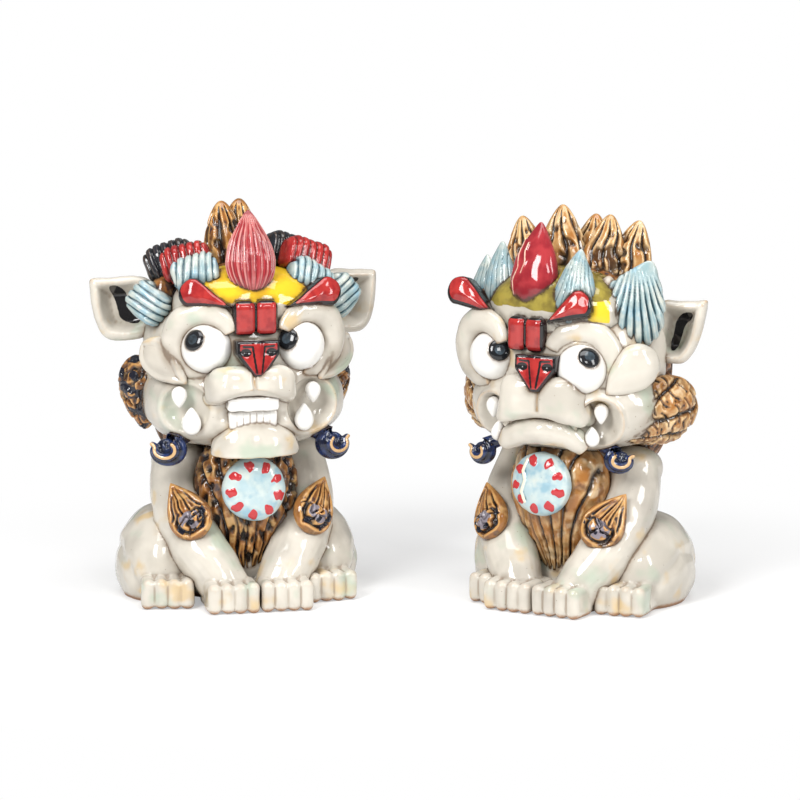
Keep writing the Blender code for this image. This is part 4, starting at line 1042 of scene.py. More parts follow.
@dataclass
class Torso:
    """The hollow pinched body, open below and at the neck."""

    half: float = 23.0
    neck: float = 11.0
    wall: float = 5.5
    oval: float = 44 / 46
    setback: float = 5.0

    def make(self, build: Build) -> None:
        """Turn the wall as a ring, press it oval and leave finger marks."""
        inner = self.half - self.wall
        height = build.neck_height
        profile = [
            (self.neck + 0.2, height), (self.half * 0.62, height * 0.975),
            (self.half * 0.80, height * 0.875), (self.half * 0.94, height * 0.68),
            (self.half, height / 2), (self.half, 0), (inner, 0), (inner, height / 2),
            (self.neck, height - self.wall * 1.4),
        ]
        wall = lathe(profile, ring=True)
        bmesh.ops.scale(wall, vec=(1, self.oval, 1), verts=wall.verts)
        skin = Clay().press(wall, shift(y=self.setback)).fused(grain=0.8, rubs=5)
        skin.press(wave=14, depth=0.22, seed=11)
        build.kiln.add("torso", skin, IVORY)


@dataclass
class Paw:
    """A block of clay with its toes cut in front."""

    width: float = 19.0
    length: float = 22.0
    height: float = 11.3
    toes: int = 4
    rounding: float = 2.2

    def press_on(self, clay: Clay, place: Matrix) -> None:
        """Press the paw onto a leg, its toes at the front of the place."""
        pitch = self.width / self.toes
        for number in range(self.toes):
            x = (number + 0.5) * pitch - self.width / 2
            long = self.length * (0.62 if number in (0, self.toes - 1) else 0.66)
            toe = block((pitch + 0.1, long, self.height), self.rounding)
            clay.press(toe, place @ shift(x, -self.length / 2 + long / 2, 0))
        palm = block((self.width - 0.8, self.length * 0.76, self.height - 1.0), 2.4)
        clay.press(palm, place @ shift(y=self.length * 0.12, z=-0.5))

    def place(self, x: float, reach: float, azimuth: float = 0.0) -> Matrix:
        """Stand the paw on the table with its toes at that reach in front of the lion's middle."""
        return shift(x, self.length / 2 - reach, self.height / 2) @ facing(azimuth)


@dataclass
class FrontLeg:
    """A rolled leg from the shoulder to the wrist, with its paw."""

    side: Side
    paws_aside: float = 0.0
    paw: Paw = field(default_factory=Paw)
    shoulder_out: float = 22.5
    shoulder_height: float = 43.0
    radius: float = 10.8
    wrist_radius: float = 8.5
    wrist_height: float = 11.0
    reach: float = 42.0
    elbow_out: float = 1.22
    wrist_in: float = 0.0

    def make(self, build: Build) -> None:
        """Lute the roll and the paw together."""
        sign = self.side.value
        centre = sign * (self.paw.width + 0.6) / 2 + self.paws_aside
        top = self.shoulder_height + self.radius * 0.6
        shoulder = Vector((sign * self.shoulder_out, 5 - self.radius * 0.2, top))
        wrist_y = -self.reach + self.paw.length * 0.62
        inward = self.wrist_radius * 0.12 - self.wrist_in
        wrist = Vector((centre + sign * inward, wrist_y, self.wrist_height * 0.55))
        elbow_z = self.shoulder_height * 0.62
        elbow = Vector((shoulder.x * self.elbow_out, shoulder.y - self.radius * 1.1, elbow_z))
        knee_z = self.wrist_height + self.wrist_radius * 1.05
        knee_x = centre + sign * (self.wrist_radius * 1.05 - self.wrist_in)
        knee = Vector((knee_x, wrist_y + self.wrist_radius * 0.7, knee_z))
        radii = (self.radius * 0.86, self.radius * 0.56, self.wrist_radius)
        clay = Clay().press(roll((shoulder, elbow, knee, wrist), 25, *radii))
        crown = ball((self.radius * 1.9, self.radius * 1.9, self.radius * 1.5), 2.2)
        clay.press(crown, at(shoulder - Vector((sign * 0.6, 0, 1.0))))
        self.paw.press_on(clay, self.paw.place(centre, self.reach))
        skin = clay.fused(grain=0.5, rubs=3)
        skin.press(wave=9, depth=0.16, seed=21 + sign)
        build.kiln.add(f"front_leg_{self.side.word}", skin, IVORY)


@dataclass
class Haunch:
    """A folded hind leg: the round thigh with its foot in front."""

    side: Side
    out: float = 28.0
    paw_out: float = 30.5
    reach: float = 29.0
    paw: Paw = field(default_factory=Paw)
    size: Triple = (31.0, 50.0, 39.6)
    setback: float = 4.0
    rise: float = 13.2
    bulge: float = 0.0

    def make(self, build: Build) -> None:
        """Lute thigh, shank and foot together."""
        sign = self.side.value
        place = shift(sign * (self.out + self.bulge), self.setback, self.rise)
        clay = Clay().press(ball(self.size), place @ facing(sign * 6, 0, -sign * 12))
        foot = self.paw.place(sign * self.paw_out, self.reach, sign * 8)
        self.paw.press_on(clay, foot)
        heel = Vector((sign * (self.out + 5), self.setback + 4, 9))
        toe = Vector((sign * self.paw_out, -self.reach + self.paw.length * 0.75, 7.5))
        bow = Vector((sign * (self.paw_out + 5), -6, 12))
        clay.press(roll((heel, bow, (bow + toe) / 2, toe), 14, 6.5, 3.2, 5.5))
        skin = clay.fused(grain=0.55, rubs=3)
        skin.press(wave=11, depth=0.2, seed=31 + sign)
        view = skin.seen(shift(sign * self.out, self.setback) @ facing(sign * 90))
        fold = [(-sign * 21, 4), (-sign * 15, 13), (-sign * 3, 19), (sign * 9, 17), (sign * 16, 9)]
        crease = np.exp(-(beside(view.u, view.v, fold) / 2.2) ** 2) * ramp(view.square, 0.2, 0.6)
        skin.push(-0.9 * crease)
        build.kiln.add(f"haunch_{self.side.word}", skin, IVORY)


@dataclass
class Tail:
    """A curled tail up the middle of the back, combed along its length."""

    radius: float = 6.2
    height: float = 46.0
    swing: float = 25.0
    back: float = 27.0

    def make(self, build: Build) -> None:
        """Roll the tail and comb it."""
        path = bezier((
            Vector((0, self.back, self.radius * 0.9)),
            Vector((self.swing * 0.9, self.back + self.radius * 1.3, self.height * 0.35)),
            Vector((-self.swing * 1.1, self.back + self.radius, self.height * 0.62)),
            Vector((self.swing * 0.12, self.back + self.radius * 0.3, self.height)),
        ), 40)
        skin = Clay().press(coil(path, swell(40, self.radius, 3.85, 1.0))).fused(grain=0.5, rubs=3)
        line = np.array([tuple(point) for point in path])
        gap = np.linalg.norm(skin.points[:, None, :] - line[None, :, :], axis=2)
        nearest = gap.argmin(1)
        across = skin.points - line[nearest]
        angle = np.arctan2(across[:, 0], across[:, 1])
        comb = np.abs(np.sin(angle * 4 + wobble(skin.points, 12, 4) * 0.6))
        cut = 1 - ramp(comb, 0.0, 0.55)
        skin.push(-0.7 * cut).mark("groove", cut)
        build.kiln.add("tail", skin, AMBER)


@dataclass
class Bib:
    """The chest mane: a combed wedge that narrows down between the legs."""

    strands: float
    roughness: float
    glaze: Glaze

    def make(self, build: Build, seed: int) -> None:
        """Press the wedge and comb it from the chin to its tip."""
        wedge = teardrop(build.bib_size, 0.7, around=220, rings=130)
        height = build.neck_height - build.bib_size[2] * 0.36
        place = shift(y=-build.bib_forward, z=height) @ facing(tilt=180)
        skin = Clay().press(wedge, place).plain()
        tip = height - build.bib_size[2] / 2 - 9
        spread = np.arctan2(skin.points[:, 0], skin.points[:, 2] - tip)
        waves = spread * self.strands + wobble(skin.points, 18, seed) * 0.55
        comb = np.abs(np.cos(waves))
        cut = 1 - ramp(comb, 0.0, 0.62)
        front = ramp(-skin.normals[:, 1], -0.2, 0.3)
        lumps = wobble(skin.points, 4.5, seed + 1)
        skin.push((-1.3 * cut - self.roughness * ramp(lumps, -0.1, 0.6)) * front)
        skin.mark("groove", np.maximum(cut, ramp(lumps, 0.25, 0.6) * min(self.roughness, 1.0)) * front)
        build.kiln.add("bib", skin, self.glaze)


@dataclass
class Medallion:
    """A domed disc on the bib with a ring of brushed drops."""

    drop_by: float
    crease: bool
    radius: float = 11.65
    dome: float = 6.5
    rim: float = 2.2
    drops: int = 9

    def make(self, build: Build) -> None:
        """Turn the disc and brush on its drops."""
        profile = [(0.0, self.dome)]
        for step in range(1, 13):
            out = step / 12 * 0.97
            rise = (self.dome - self.rim) * math.sqrt(1 - out ** 2.2)
            profile.append((self.radius * out, self.rim + rise))
        profile += [(self.radius, self.rim), (self.radius, 0.6), (self.radius - 0.6, 0), (0, 0)]
        disc = lathe(profile, 160)
        disc.transform(Matrix.Rotation(math.pi / 2, 4, "X"))
        back = -build.bib_forward - build.bib_size[1] / 2 + self.rim * 1.2
        place = shift(0, back, build.neck_height - self.drop_by) @ facing(lean=4)
        skin = Clay().press(disc, place).fused(grain=0.28, rubs=3)
        skin.press(wave=6, depth=0.12, seed=400 + int(self.drop_by))
        view = skin.seen(place)
        square = ramp(view.square, 0.1, 0.3)
        out = np.hypot(view.u, view.v)
        angle = np.arctan2(view.u, view.v) + wobble(skin.points, 25, 401) * 0.06
        turn = angle / (2 * math.pi) * self.drops + 0.35
        off = (turn - np.round(turn)) * 2 * math.pi / self.drops * out
        along = out - (self.radius - 2.9)
        uneven = wobble(skin.points, 3.0, 402) * 0.18
        red = 1 - np.hypot(off / (1.65 + along * 0.18), along / 2.15) + uneven
        skin.mark("paint", ramp(red, -0.06, 0.16) * square)
        skin.push(0.25 * ramp(red, -0.1, 0.5) * square)
        if self.crease:
            view = skin.seen(place)
            line = [(-4.6, 8.6), (-5.6, 4.5), (-4.4, 1.5), (-5.9, -3), (-4.6, -6.5)]
            ridge = np.exp(-(beside(view.u, view.v, line) / 0.6) ** 2) * square
            skin.push(0.45 * ridge)
            skin.mark("bare", ridge)
        build.kiln.add("medallion", skin, SKY)


@dataclass
class ElbowTuft:
    """A drop of fur on the front of a leg: a rolled rim, rays from its tip and a knot of lumps below."""

    side: Side
    seed: int
    drop: float = 0.0
    size: Triple = (19.0, 10.0, 23.5)
    pinch: float = 0.80
    knot_drop: float = 4.4

    def make(self, build: Build) -> None:
        """Press the drop, sink its middle, comb the rays and knot the core."""
        sign = self.side.value
        place = shift(sign * 24.0, -22.3, 35.3 - self.drop) @ facing(sign * 24, 20, sign * 34)
        skin = Clay().press(teardrop(self.size, self.pinch), place).fused(grain=0.32, rubs=2)
        view = skin.seen(place)
        rise = (view.v + self.size[2] / 2) / self.size[2]
        round_off = np.sqrt(np.clip(4 * rise * (1 - rise), 0, 1))
        half = self.size[0] / 2 * (1 - self.pinch * rise ** 2) * round_off
        inside = np.minimum(half - np.abs(view.u), np.minimum(view.v + 11.2, 11.2 - view.v))
        front = ramp(view.square, 0.1, 0.5)
        field_share = ramp(inside, 0.9, 2.2) * front
        bend = wobble(skin.points, 8, self.seed) * 0.35
        rays = np.abs(np.cos(np.arctan2(view.u, 14.0 - view.v) * 13 + bend))
        upper = ramp(view.v, -3.4, -0.6) * field_share
        cut = (1 - ramp(rays, 0.0, 0.6)) * upper
        lower = ramp(view.v, -0.4, -2.6) * field_share
        around = np.arctan2(view.u, view.v + self.knot_drop)
        off_knot = np.hypot(view.u, view.v + self.knot_drop)
        petals = np.abs(np.cos(around * 2.0 + 0.9 + wobble(skin.points, 5, self.seed + 5) * 1.3))
        pit = np.maximum(1 - ramp(petals, 0.1, 0.7), np.exp(-((off_knot - 5.3) / 0.8) ** 2)) * lower
        skin.push(-0.5 * field_share - 1.0 * cut - 1.3 * pit + 0.7 * lower * (1 - pit))
        skin.mark("groove", np.maximum(cut, pit))
        knot = ramp(off_knot, 4.4, 3.4) * lower
        skin.mark("paint", knot * ramp(wobble(skin.points, 4.5, self.seed + 9), -0.5, 0.0))
        skin.mark("ink", ramp(wobble(skin.points, 5.0, self.seed + 2), 0.25, 0.5) * lower * 0.9)
        build.kiln.add(f"elbow_tuft_{self.side.word}", skin, AMBER)


@dataclass
class Head:
    """The head's ball and nape, combed all round, with its bare forehead and its flames."""

    flames: tuple[tuple[float, float, float, float, float], ...]
    forehead: Glaze
    forehead_edge: float
    point: float
    flame_glaze: Glaze
    flame_size: Triple
    patch: tuple[Point, ...] = ()
    ball_size: Triple = (63.0, 56.0, 68.0)
    nape_size: Triple = (60.0, 42.0, 56.0)
    forehead_size: Triple = (54.0, 34.0, 32.0)
    locks: int = 14
    nape_locks: int = 10
    lock_length: float = 17.0
    comb: float = 0.045

    def combed(self, size: Triple, blunt: float, locks: int) -> Lump:
        """A ball with broad locks from top to bottom.

        Args:
            size: Its three widths.
            blunt: How square it is.
            locks: How many locks.

        Returns:
            The lump.
        """
        lump = ball(size, blunt, locks * 12, 60)
        for vert in lump.verts:
            angle = math.atan2(vert.co.y / size[1], vert.co.x / size[0])
            sunk = 1 - self.comb * (0.5 - 0.5 * math.cos(angle * locks))
            vert.co.x *= sunk
            vert.co.y *= sunk
        return lump

    def make(self, build: Build, seed: int) -> None:
        """Lute ball and nape, comb them from the crown down, and stand the flames on top."""
        clay = Clay().press(self.combed(self.ball_size, 2.6, self.locks), at(build.head))
        nape = self.combed(self.nape_size, 2.0, self.nape_locks)
        clay.press(nape, at(build.head + Vector((0, 11, -20))))
        skin = clay.fused(grain=0.7, rubs=4)
        around = np.arctan2(skin.points[:, 0], build.head.y - skin.points[:, 1])
        waves = around * self.locks * 1.5 + wobble(skin.points, 20, seed) * 1.3
        comb = np.abs(np.cos(waves))
        strand = np.round(waves / math.pi)
        fall = skin.points[:, 2] / self.lock_length + strand * 0.382
        fall += wobble(skin.points, 26, seed + 1) * 0.3
        above_tip = fall - np.floor(fall)
        cut = (1 - ramp(comb, 0.0, 0.75 - 0.35 * above_tip)) * ramp(skin.points[:, 2], 124, 114)
        tips = 1 - ramp(above_tip, 0.0, 0.10)
        skin.push(-0.9 * cut - 1.0 * tips * ramp(comb, 0.0, 0.5) + 0.5 * (1 - above_tip) * (1 - tips))
        skin.mark("groove", np.maximum(cut * 0.9, tips * 0.75))
        build.kiln.add("head", skin, AMBER)
        front = at(build.head + Vector((0, -18, build.forehead_rise)))
        brow = Clay().press(ball(self.forehead_size, 2.3, 120, 80), front).plain()
        brow.press(wave=9, depth=0.15, seed=seed + 2)
        height = brow.points[:, 2] + wobble(brow.points, 9, seed + 3) * 0.8
        skin_tone = ramp(height, self.forehead_edge + 0.6, self.forehead_edge - 0.6)
        brow.mark("paint", np.maximum(skin_tone, ramp(np.abs(brow.points[:, 0]), 23.0, 24.0)))
        if self.patch:
            view = brow.seen(front)
            brow.mark("ink", ramp(within(view.u, view.v, self.patch), -0.3, 0.4))
        build.kiln.add("forehead", brow, self.forehead, "head")
        for number, (across, back, up, tilt, scale) in enumerate(self.flames):
            wide, deep, high = self.flame_size
            size = (wide * scale, deep, high * scale)
            place = at(build.by_head(across, back, up)) @ facing(lean=8, tilt=tilt)
            flame = Clay().press(teardrop(size, self.point, around=140, rings=100), place).plain()
            view = flame.seen(place)
            angle = np.arctan2(view.u, view.near)
            bend = wobble(flame.points, 13, seed + 20 + number)
            comb = np.abs(np.cos(angle * 3.5 + bend * 0.7 + view.v * 0.03))
            notch = (1 - ramp(comb, 0.0, 0.75)) * ramp(view.v, size[2] * 0.47, size[2] * 0.25)
            chips = ramp(wobble(flame.points, 5.5, seed + 30 + number), 0.15, 0.55)
            chips *= ramp(view.v, size[2] * 0.4, size[2] * 0.2)
            flame.push(-1.5 * notch - 0.8 * chips)
            flame.mark("groove", np.maximum(notch, chips * 0.8))
            build.kiln.add(f"flame_{number + 1}", flame, self.flame_glaze, "head")


@dataclass
class Scoops:
    """The scooped corners of a mouth: their tool, their places and the fangs in them."""

    size: Triple
    apart: float
    aside: float
    rise: float
    rim: float
    fang_upper: tuple[float, float]
    fang_lower: tuple[float, float]
    rises: tuple[float, float]
    sunk: float
    turn: float = 36.0


@dataclass
class Face:
    """The mask on the front of the head with the jaw, its scooped corners and the fangs."""

    scoops: Scoops
    mask_size: Triple = (71.0, 60.0, 56.0)

    def make(self, build: Build, open_mouth: bool) -> None:
        """Lute mask and jaw, scoop the corners and set a fang at each end of both."""
        mask = sliced(ball(self.mask_size, 2.3), (0, 4, 0), (0, 1, 0))
        middle = build.head + Vector((0, -build.jaw_forward, -build.jaw_drop))
        jaw = ball(build.jaw_size, 2.5)
        clay = Clay().press(mask, at(build.face))
        skin = clay.press(jaw, build.mouth @ at(middle)).fused(grain=0.5, rubs=6)
        skin.press(wave=12, depth=0.2, seed=51)
        if open_mouth:
            skin.hollow(build.mouth @ shift(0, -36.5, 72.0), (21.5, 6.0, 8.0), 0.0)
        for sign in (-1, 1):
            self.corner(build, skin, middle, sign)
        build.kiln.add("face", skin, IVORY)

    def corner(self, build: Build, skin: Skin, middle: Vector, sign: int) -> None:
        """Scoop one corner and set its two fangs.

        Args:
            build: The lion's sizes and kiln.
            skin: The face.
            middle: The jaw's middle.
            sign: The side, 1 for left.
        """
        wide, deep, high = self.scoops.size
        aside = sign * self.scoops.apart / 2 + self.scoops.aside
        corner = Vector((aside, middle.y - build.jaw_size[1] * 0.42, middle.z + self.scoops.rise))
        place = build.mouth @ at(corner) @ facing(sign * self.scoops.turn)
        depth = skin.hollow(place, (wide / 2, deep, high / 2), self.scoops.rim)
        skin.mark("groove", ramp(depth, 0.55, 1.0) * 0.35)
        fangs = (self.scoops.fang_upper, self.scoops.fang_lower)
        for up, (across, tall), height in zip((1, -1), fangs, self.scoops.rises):
            fang = teardrop((across, across, tall), 0.55, around=48, rings=32)
            near = shift(up * sign * wide * 0.12, self.scoops.sunk, height)
            flip = facing(tilt=180 if up > 0 else 0)
            word = "upper" if up > 0 else "lower"
            name = f"fang_{word}_{Side(sign).word}"
            build.kiln.add(name, Clay().press(fang, place @ near @ flip).plain(), WHITE, "face")


@dataclass
class Muzzle:
    """The upper lip, a wide soft slab with a crease down its middle, over its teeth if it has any."""

    size: Triple
    aside: float
    rise: float
    rounding: float
    taper: float
    crease: tuple[float, float]
    teeth: bool
    lean: float
    arch: float = 1.2
    lift: float = 11.0
    teeth_size: Triple = (18.6, 18.0, 5.4)
    teeth_height: float = 76.0

    def make(self, build: Build) -> None:
        """Press the slab, arch its lower edge, draw the crease and set the teeth."""
        half, depth, height = self.size[0] / 2, self.size[1], self.size[2]
        middle = build.on_face(0, self.rise, self.lift - depth / 2) + Vector((self.aside, 0, 0))
        place = build.mouth @ at(middle) @ facing(lean=self.lean)
        slab = block(self.size, self.rounding, 6)
        bmesh.ops.subdivide_edges(slab, edges=slab.edges[:], cuts=5, use_grid_fill=True)
        for vert in slab.verts:
            vert.co.x *= 1 - self.taper * (vert.co.z / height + 0.5)
            vert.co.y += 2.6 * (vert.co.x / half) ** 2
        skin = Clay().press(slab, place).fused(grain=0.45, rubs=5)
        view = skin.seen(place)
        low = ramp(view.v, 0, -height / 2)
        skin.push(self.arch * (1 - (view.u / half) ** 2) * low, place.to_3x3() @ Vector((0, 0, 1)))
        view = skin.seen(place)
        cheeks = np.exp(-((np.abs(view.u) - half * 0.5) / (half * 0.34)) ** 2) * ramp(view.square, 0.1, 0.7)
        skin.push(1.3 * cheeks)
        view = skin.seen(place)
        top, bottom = self.crease
        line = [(0.2, height * top), (-0.1, height * (top + bottom) / 2), (0.1, height * bottom)]
        drawn = skin.groove(view, line, 1.25, 0.9)
        skin.mark("paint", drawn * 0.58)
        skin.press(wave=8, depth=0.15, seed=61)
        build.kiln.add("muzzle", skin, IVORY)
        if not self.teeth:
            return
        row_place = build.mouth @ shift(middle.x + 0.3, middle.y + 1.4, self.teeth_height)
        row = Clay().press(block(self.teeth_size, 1.3), row_place).fused(grain=0.35, rubs=4)
        row.press(wave=4, depth=0.16, seed=62)
        build.kiln.add("teeth_upper", row, WHITE, "muzzle")


@dataclass
class OpenLip:
    """The open mouth's lower lip: a half moon on the chin, and a row of small teeth behind it."""

    moon: Triple = (32.0, 19.0, 24.5)
    teeth: int = 7
    row: float = 17.0
    cut: float = 1.3

    def make(self, build: Build) -> None:
        """Press the half moon and the toothed strip."""
        wide, deep, high = self.moon
        height = build.head.z - build.jaw_drop - build.jaw_size[2] / 2 + self.cut
        middle = Vector((0, build.chin_front + deep * 0.24, height))
        place = at(middle)
        moon = sliced(ball(self.moon), (0, 0, -self.cut), (0, 0, -1))
        skin = Clay().press(moon, place).fused(grain=0.4, rubs=4)
        view = skin.seen(place)
        ledge = high / 2 * np.sqrt(np.clip(1 - (view.u / (wide / 2)) ** 2, 0, 1)) - view.v
        skin.push(0.5 * np.exp(-((ledge - 1.8) / 1.3) ** 2) * ramp(view.square, 0, 0.5))
        skin.press(wave=8, depth=0.15, seed=71)
        build.kiln.add("lower_lip", skin, IVORY)
        clay = Clay()
        pitch = self.row / self.teeth
        for number in range(self.teeth):
            x = (number + 0.5) * pitch - self.row / 2 - 1.2
            tall = 6.6 + 0.5 * math.sin(number * 2.3)
            tooth = block((pitch + 0.5, 6.0, tall), 1.0)
            spot = middle + Vector((x, -2.2, high / 2 + 0.1 - abs(number - 3) * 0.12))
            clay.press(tooth, at(spot) @ facing(tilt=(number - 3) * 0.8))
        build.kiln.add("teeth_lower", clay.fused(grain=0.3, rubs=3), WHITE, "lower_lip")


@dataclass
class ClosedLip:
    """The closed mouth's lower lip: a thick roll that turns down at both ends."""

    radius: float = 3.7
    width: float = 30.0
    aside: float = -3.2
    drop: float = 7.7
    sag: float = 5.4
    sweep: float = 4.5

    def make(self, build: Build) -> None:
        """Roll the lip."""
        height = build.head.z - build.jaw_drop - self.drop
        middle = Vector((self.aside, build.chin_front + self.radius / 4, height))
        ends = Vector((self.width / 2, self.sweep, -self.sag))
        crown = Vector((0, -self.radius / 4, self.sag / 2))
        half = Vector((ends.x / 2, 0, 0))
        start = middle + Vector((-ends.x, ends.y, ends.z))
        points = (start, middle + crown - half, middle + crown + half, middle + ends)
        lip = roll(points, 30, self.radius, self.radius * 0.95, self.radius)
        skin = Clay().press(lip, build.mouth).fused(grain=0.4, rubs=5)
        skin.press(wave=7, depth=0.18, seed=72)
        build.kiln.add("lower_lip", skin, IVORY)


@dataclass
class EyeHood:
    """The broad roll that hoods an eye, and the leaf of cheek that is laid under its outer end."""

    side: Side
    leaf_size: Triple
    leaf_at: tuple[float, float]
    leaf_turn: tuple[float, float]
    moved: Triple = (0.0, 0.0, 0.0)
    second_roll: bool = False
    leaf_sunk: float = 1.3
    radius: float = 10.8
    past_eye: Point = (1.222, 0.987)
    turn: float = 22.0
    flat: float = 0.66

    def make(self, build: Build) -> None:
        """Press the roll flat and lay the leaf."""
        sign = self.side.value
        across, rise = self.past_eye
        middle = build.on_face(sign * (build.eye_aside + across), build.eye_rise + rise)
        middle += Vector(self.moved) - Vector((0, 0, build.eye_drop))
        place = at(middle) @ facing(sign * self.turn)
        path = [Vector((sign * point.x, 0, point.z)) for point in arc(self.radius, 158, -104, 48)]
        band = coil(path, swell(48, 3.3, 3.8, 2.0))
        bmesh.ops.scale(band, vec=(1, self.flat, 1), verts=band.verts)
        clay = Clay().press(band, place)
        if self.second_roll:
            turns = arc(self.radius + 3.1, 96, -70, 40)
            outer = [Vector((sign * point.x, 1.4, point.z)) for point in turns]
            clay.press(coil(outer, swell(40, 1.2, 1.7, 1.0)), place)
        skin = clay.fused(grain=0.42, rubs=4)
        skin.press(wave=8, depth=0.15, seed=81 + sign)
        build.kiln.add(f"eye_hood_{self.side.word}", skin, IVORY)
        self.lay_leaf(build, sign)

    def lay_leaf(self, build: Build, sign: int) -> None:
        """Press the leaf, sink its middle and leave its rim standing."""
        across, rise = self.leaf_at
        azimuth, tilt = self.leaf_turn
        spot = build.on_face(sign * across, rise, 0.6) + facing(sign * azimuth) @ Vector((0, -2.4, 0))
        spot.z -= build.eye_drop
        lay = at(spot) @ facing(sign * azimuth, 0, -sign * tilt)
        form = leaf(self.leaf_size)
        if sign < 0:
            form.transform(Matrix.Diagonal((-1, 1, 1, 1)))
            bmesh.ops.reverse_faces(form, faces=form.faces)
        skin = Clay().press(form, lay).fused(grain=0.4, rubs=3)
        view = skin.seen(lay)
        run = np.clip(sign * view.u / (self.leaf_size[0] / 2), -1, 1.3)
        run = np.clip(run - LEAF_SKEW * (1 - run ** 2), -1, 1)
        half = self.leaf_size[2] / 2 * (1 - run ** 2) ** 0.9
        inside = half - np.abs(view.v)
        sunk = ramp(inside, 0.8, 3.2) * ramp(view.square, 0.2, 0.6)
        skin.push(-self.leaf_sunk * sunk)
        skin.mark("groove", ramp(inside, 1.6, 4.4) * 0.17 * self.leaf_sunk)
        skin.press(wave=8, depth=0.12, seed=85 + sign)
        build.kiln.add(f"cheek_leaf_{self.side.word}", skin, IVORY, f"eye_hood_{self.side.word}")


@dataclass
class Eye:
    """A white ball with a black bead pressed on where the lion looks."""

    side: Side
    gaze: tuple[float, float]
    moved: tuple[float, float]
    diameter: float = 18.6
    bead: float = 8.0

    def make(self, build: Build) -> None:
        """Roll the ball and press on the bead, paler in its middle."""
        sign = self.side.value
        middle = build.on_face(sign * build.eye_aside, build.eye_rise, 0.2)
        middle += Vector((self.moved[0], 0, self.moved[1] - build.eye_drop))
        place = at(middle)
        skin = Clay().press(ball((self.diameter,) * 3, around=96, rings=64), place).plain()
        build.kiln.add(f"eye_{self.side.word}", skin, WHITE)
        look = place @ facing(*self.gaze) @ shift(y=-self.diameter / 2 + 1.1)
        bead = Clay().press(ball((self.bead, 3.0, self.bead), around=64, rings=40), look).plain()
        view = bead.seen(look)
        bead.mark("paint", ramp(np.hypot(view.u, view.v), 2.3, 1.5))
        build.kiln.add(f"pupil_{self.side.word}", bead, BLACK, f"eye_{self.side.word}")


@dataclass
class Nose:
    """Two short rolls down the bridge over the wedge of the nose, brushed red inside black."""

    moved: tuple[float, float] = (0.0, -0.7)
    wedge_rise: float = 2.4
    bridge_width: float = 16.2
    bridge_height: float = 12.8
    bridge_depth: float = 10.0
    bridge_rise: float = 17.2
    width: float = 15.6
    height: float = 13.2
    depth: float = 16.0
    foot: float = 1.9
    forward: float = 4.0
    wedge_forward: float = 4.2

    def make(self, build: Build) -> None:
        """Press rolls and wedge, and leave black wherever the front isn't square on."""
        half = self.bridge_width / 2
        front = build.forehead_front - self.forward
        aside, lift = self.moved
        rise = build.face.z + self.bridge_rise - build.nose_drop + lift
        centre = Vector((aside, front + self.bridge_depth / 2, rise))
        clay = Clay()
        for sign in (-1, 1):
            cushion = block((half * 1.02, self.bridge_depth, self.bridge_height), 2.7, 6)
            clay.press(cushion, at(centre + Vector((sign * half / 2, 0, 0))))
        bridge = clay.fused(grain=0.3, rubs=2)
        view = bridge.seen(at(centre))
        edge = np.minimum(half - np.abs(view.u), self.bridge_height / 2 - np.abs(view.v))
        ink = np.maximum(ramp(edge, 1.15, 0.6), ramp(np.abs(view.u), 0.7, 0.25))
        bridge.mark("ink", np.maximum(ink, ramp(view.square, 0.45, 0.25)))
        build.kiln.add("nose_bridge", bridge, RED, "nose")
        rise = build.face.z + self.wedge_rise - build.nose_drop + lift
        tip = Vector((aside, front + self.depth / 2 - self.wedge_forward, rise))
        place = build.mouth @ at(tip) @ facing(lean=6)
        wing, high = self.width / 2, self.height / 2
        outline = [
            (-wing, high), (-wing, high * 0.25), (-self.foot, -high), (self.foot, -high),
            (wing, high * 0.25), (wing, high),
        ]
        wedge = Clay().press(plate(outline, self.depth, 1.4), place).fused(grain=0.28, rubs=2)
        view = wedge.seen(place)
        stem = np.exp(-(view.u / 1.5) ** 2) * ramp(view.square, 0.4, 0.8)
        nostrils = np.exp(-(((np.abs(view.u) - 4.6) / 1.7) ** 2 + ((view.v - 2.6) / 1.4) ** 2))
        wedge.push(0.7 * stem - 0.9 * nostrils * ramp(view.square, 0.4, 0.8))
        view = wedge.seen(place)
        inside = within(view.u, view.v, outline)
        lines = beside(np.abs(view.u), view.v, [(5.6, 4.6), (2.2, 4.4), (1.7, 0.5), (0.9, -5.0)])
        ink = np.maximum(ramp(inside, 1.3, 0.8), ramp(view.square, 0.5, 0.3))
        ink = np.maximum(ink, ramp(lines, 0.50, 0.25))
        nostril = np.hypot((np.abs(view.u) - 4.7) / 2.1, (view.v - 2.4) / 1.5)
        wedge.mark("ink", np.maximum(ink, ramp(nostril, 1.1, 0.85)))
        build.kiln.add("nose_wedge", wedge, RED, "nose")


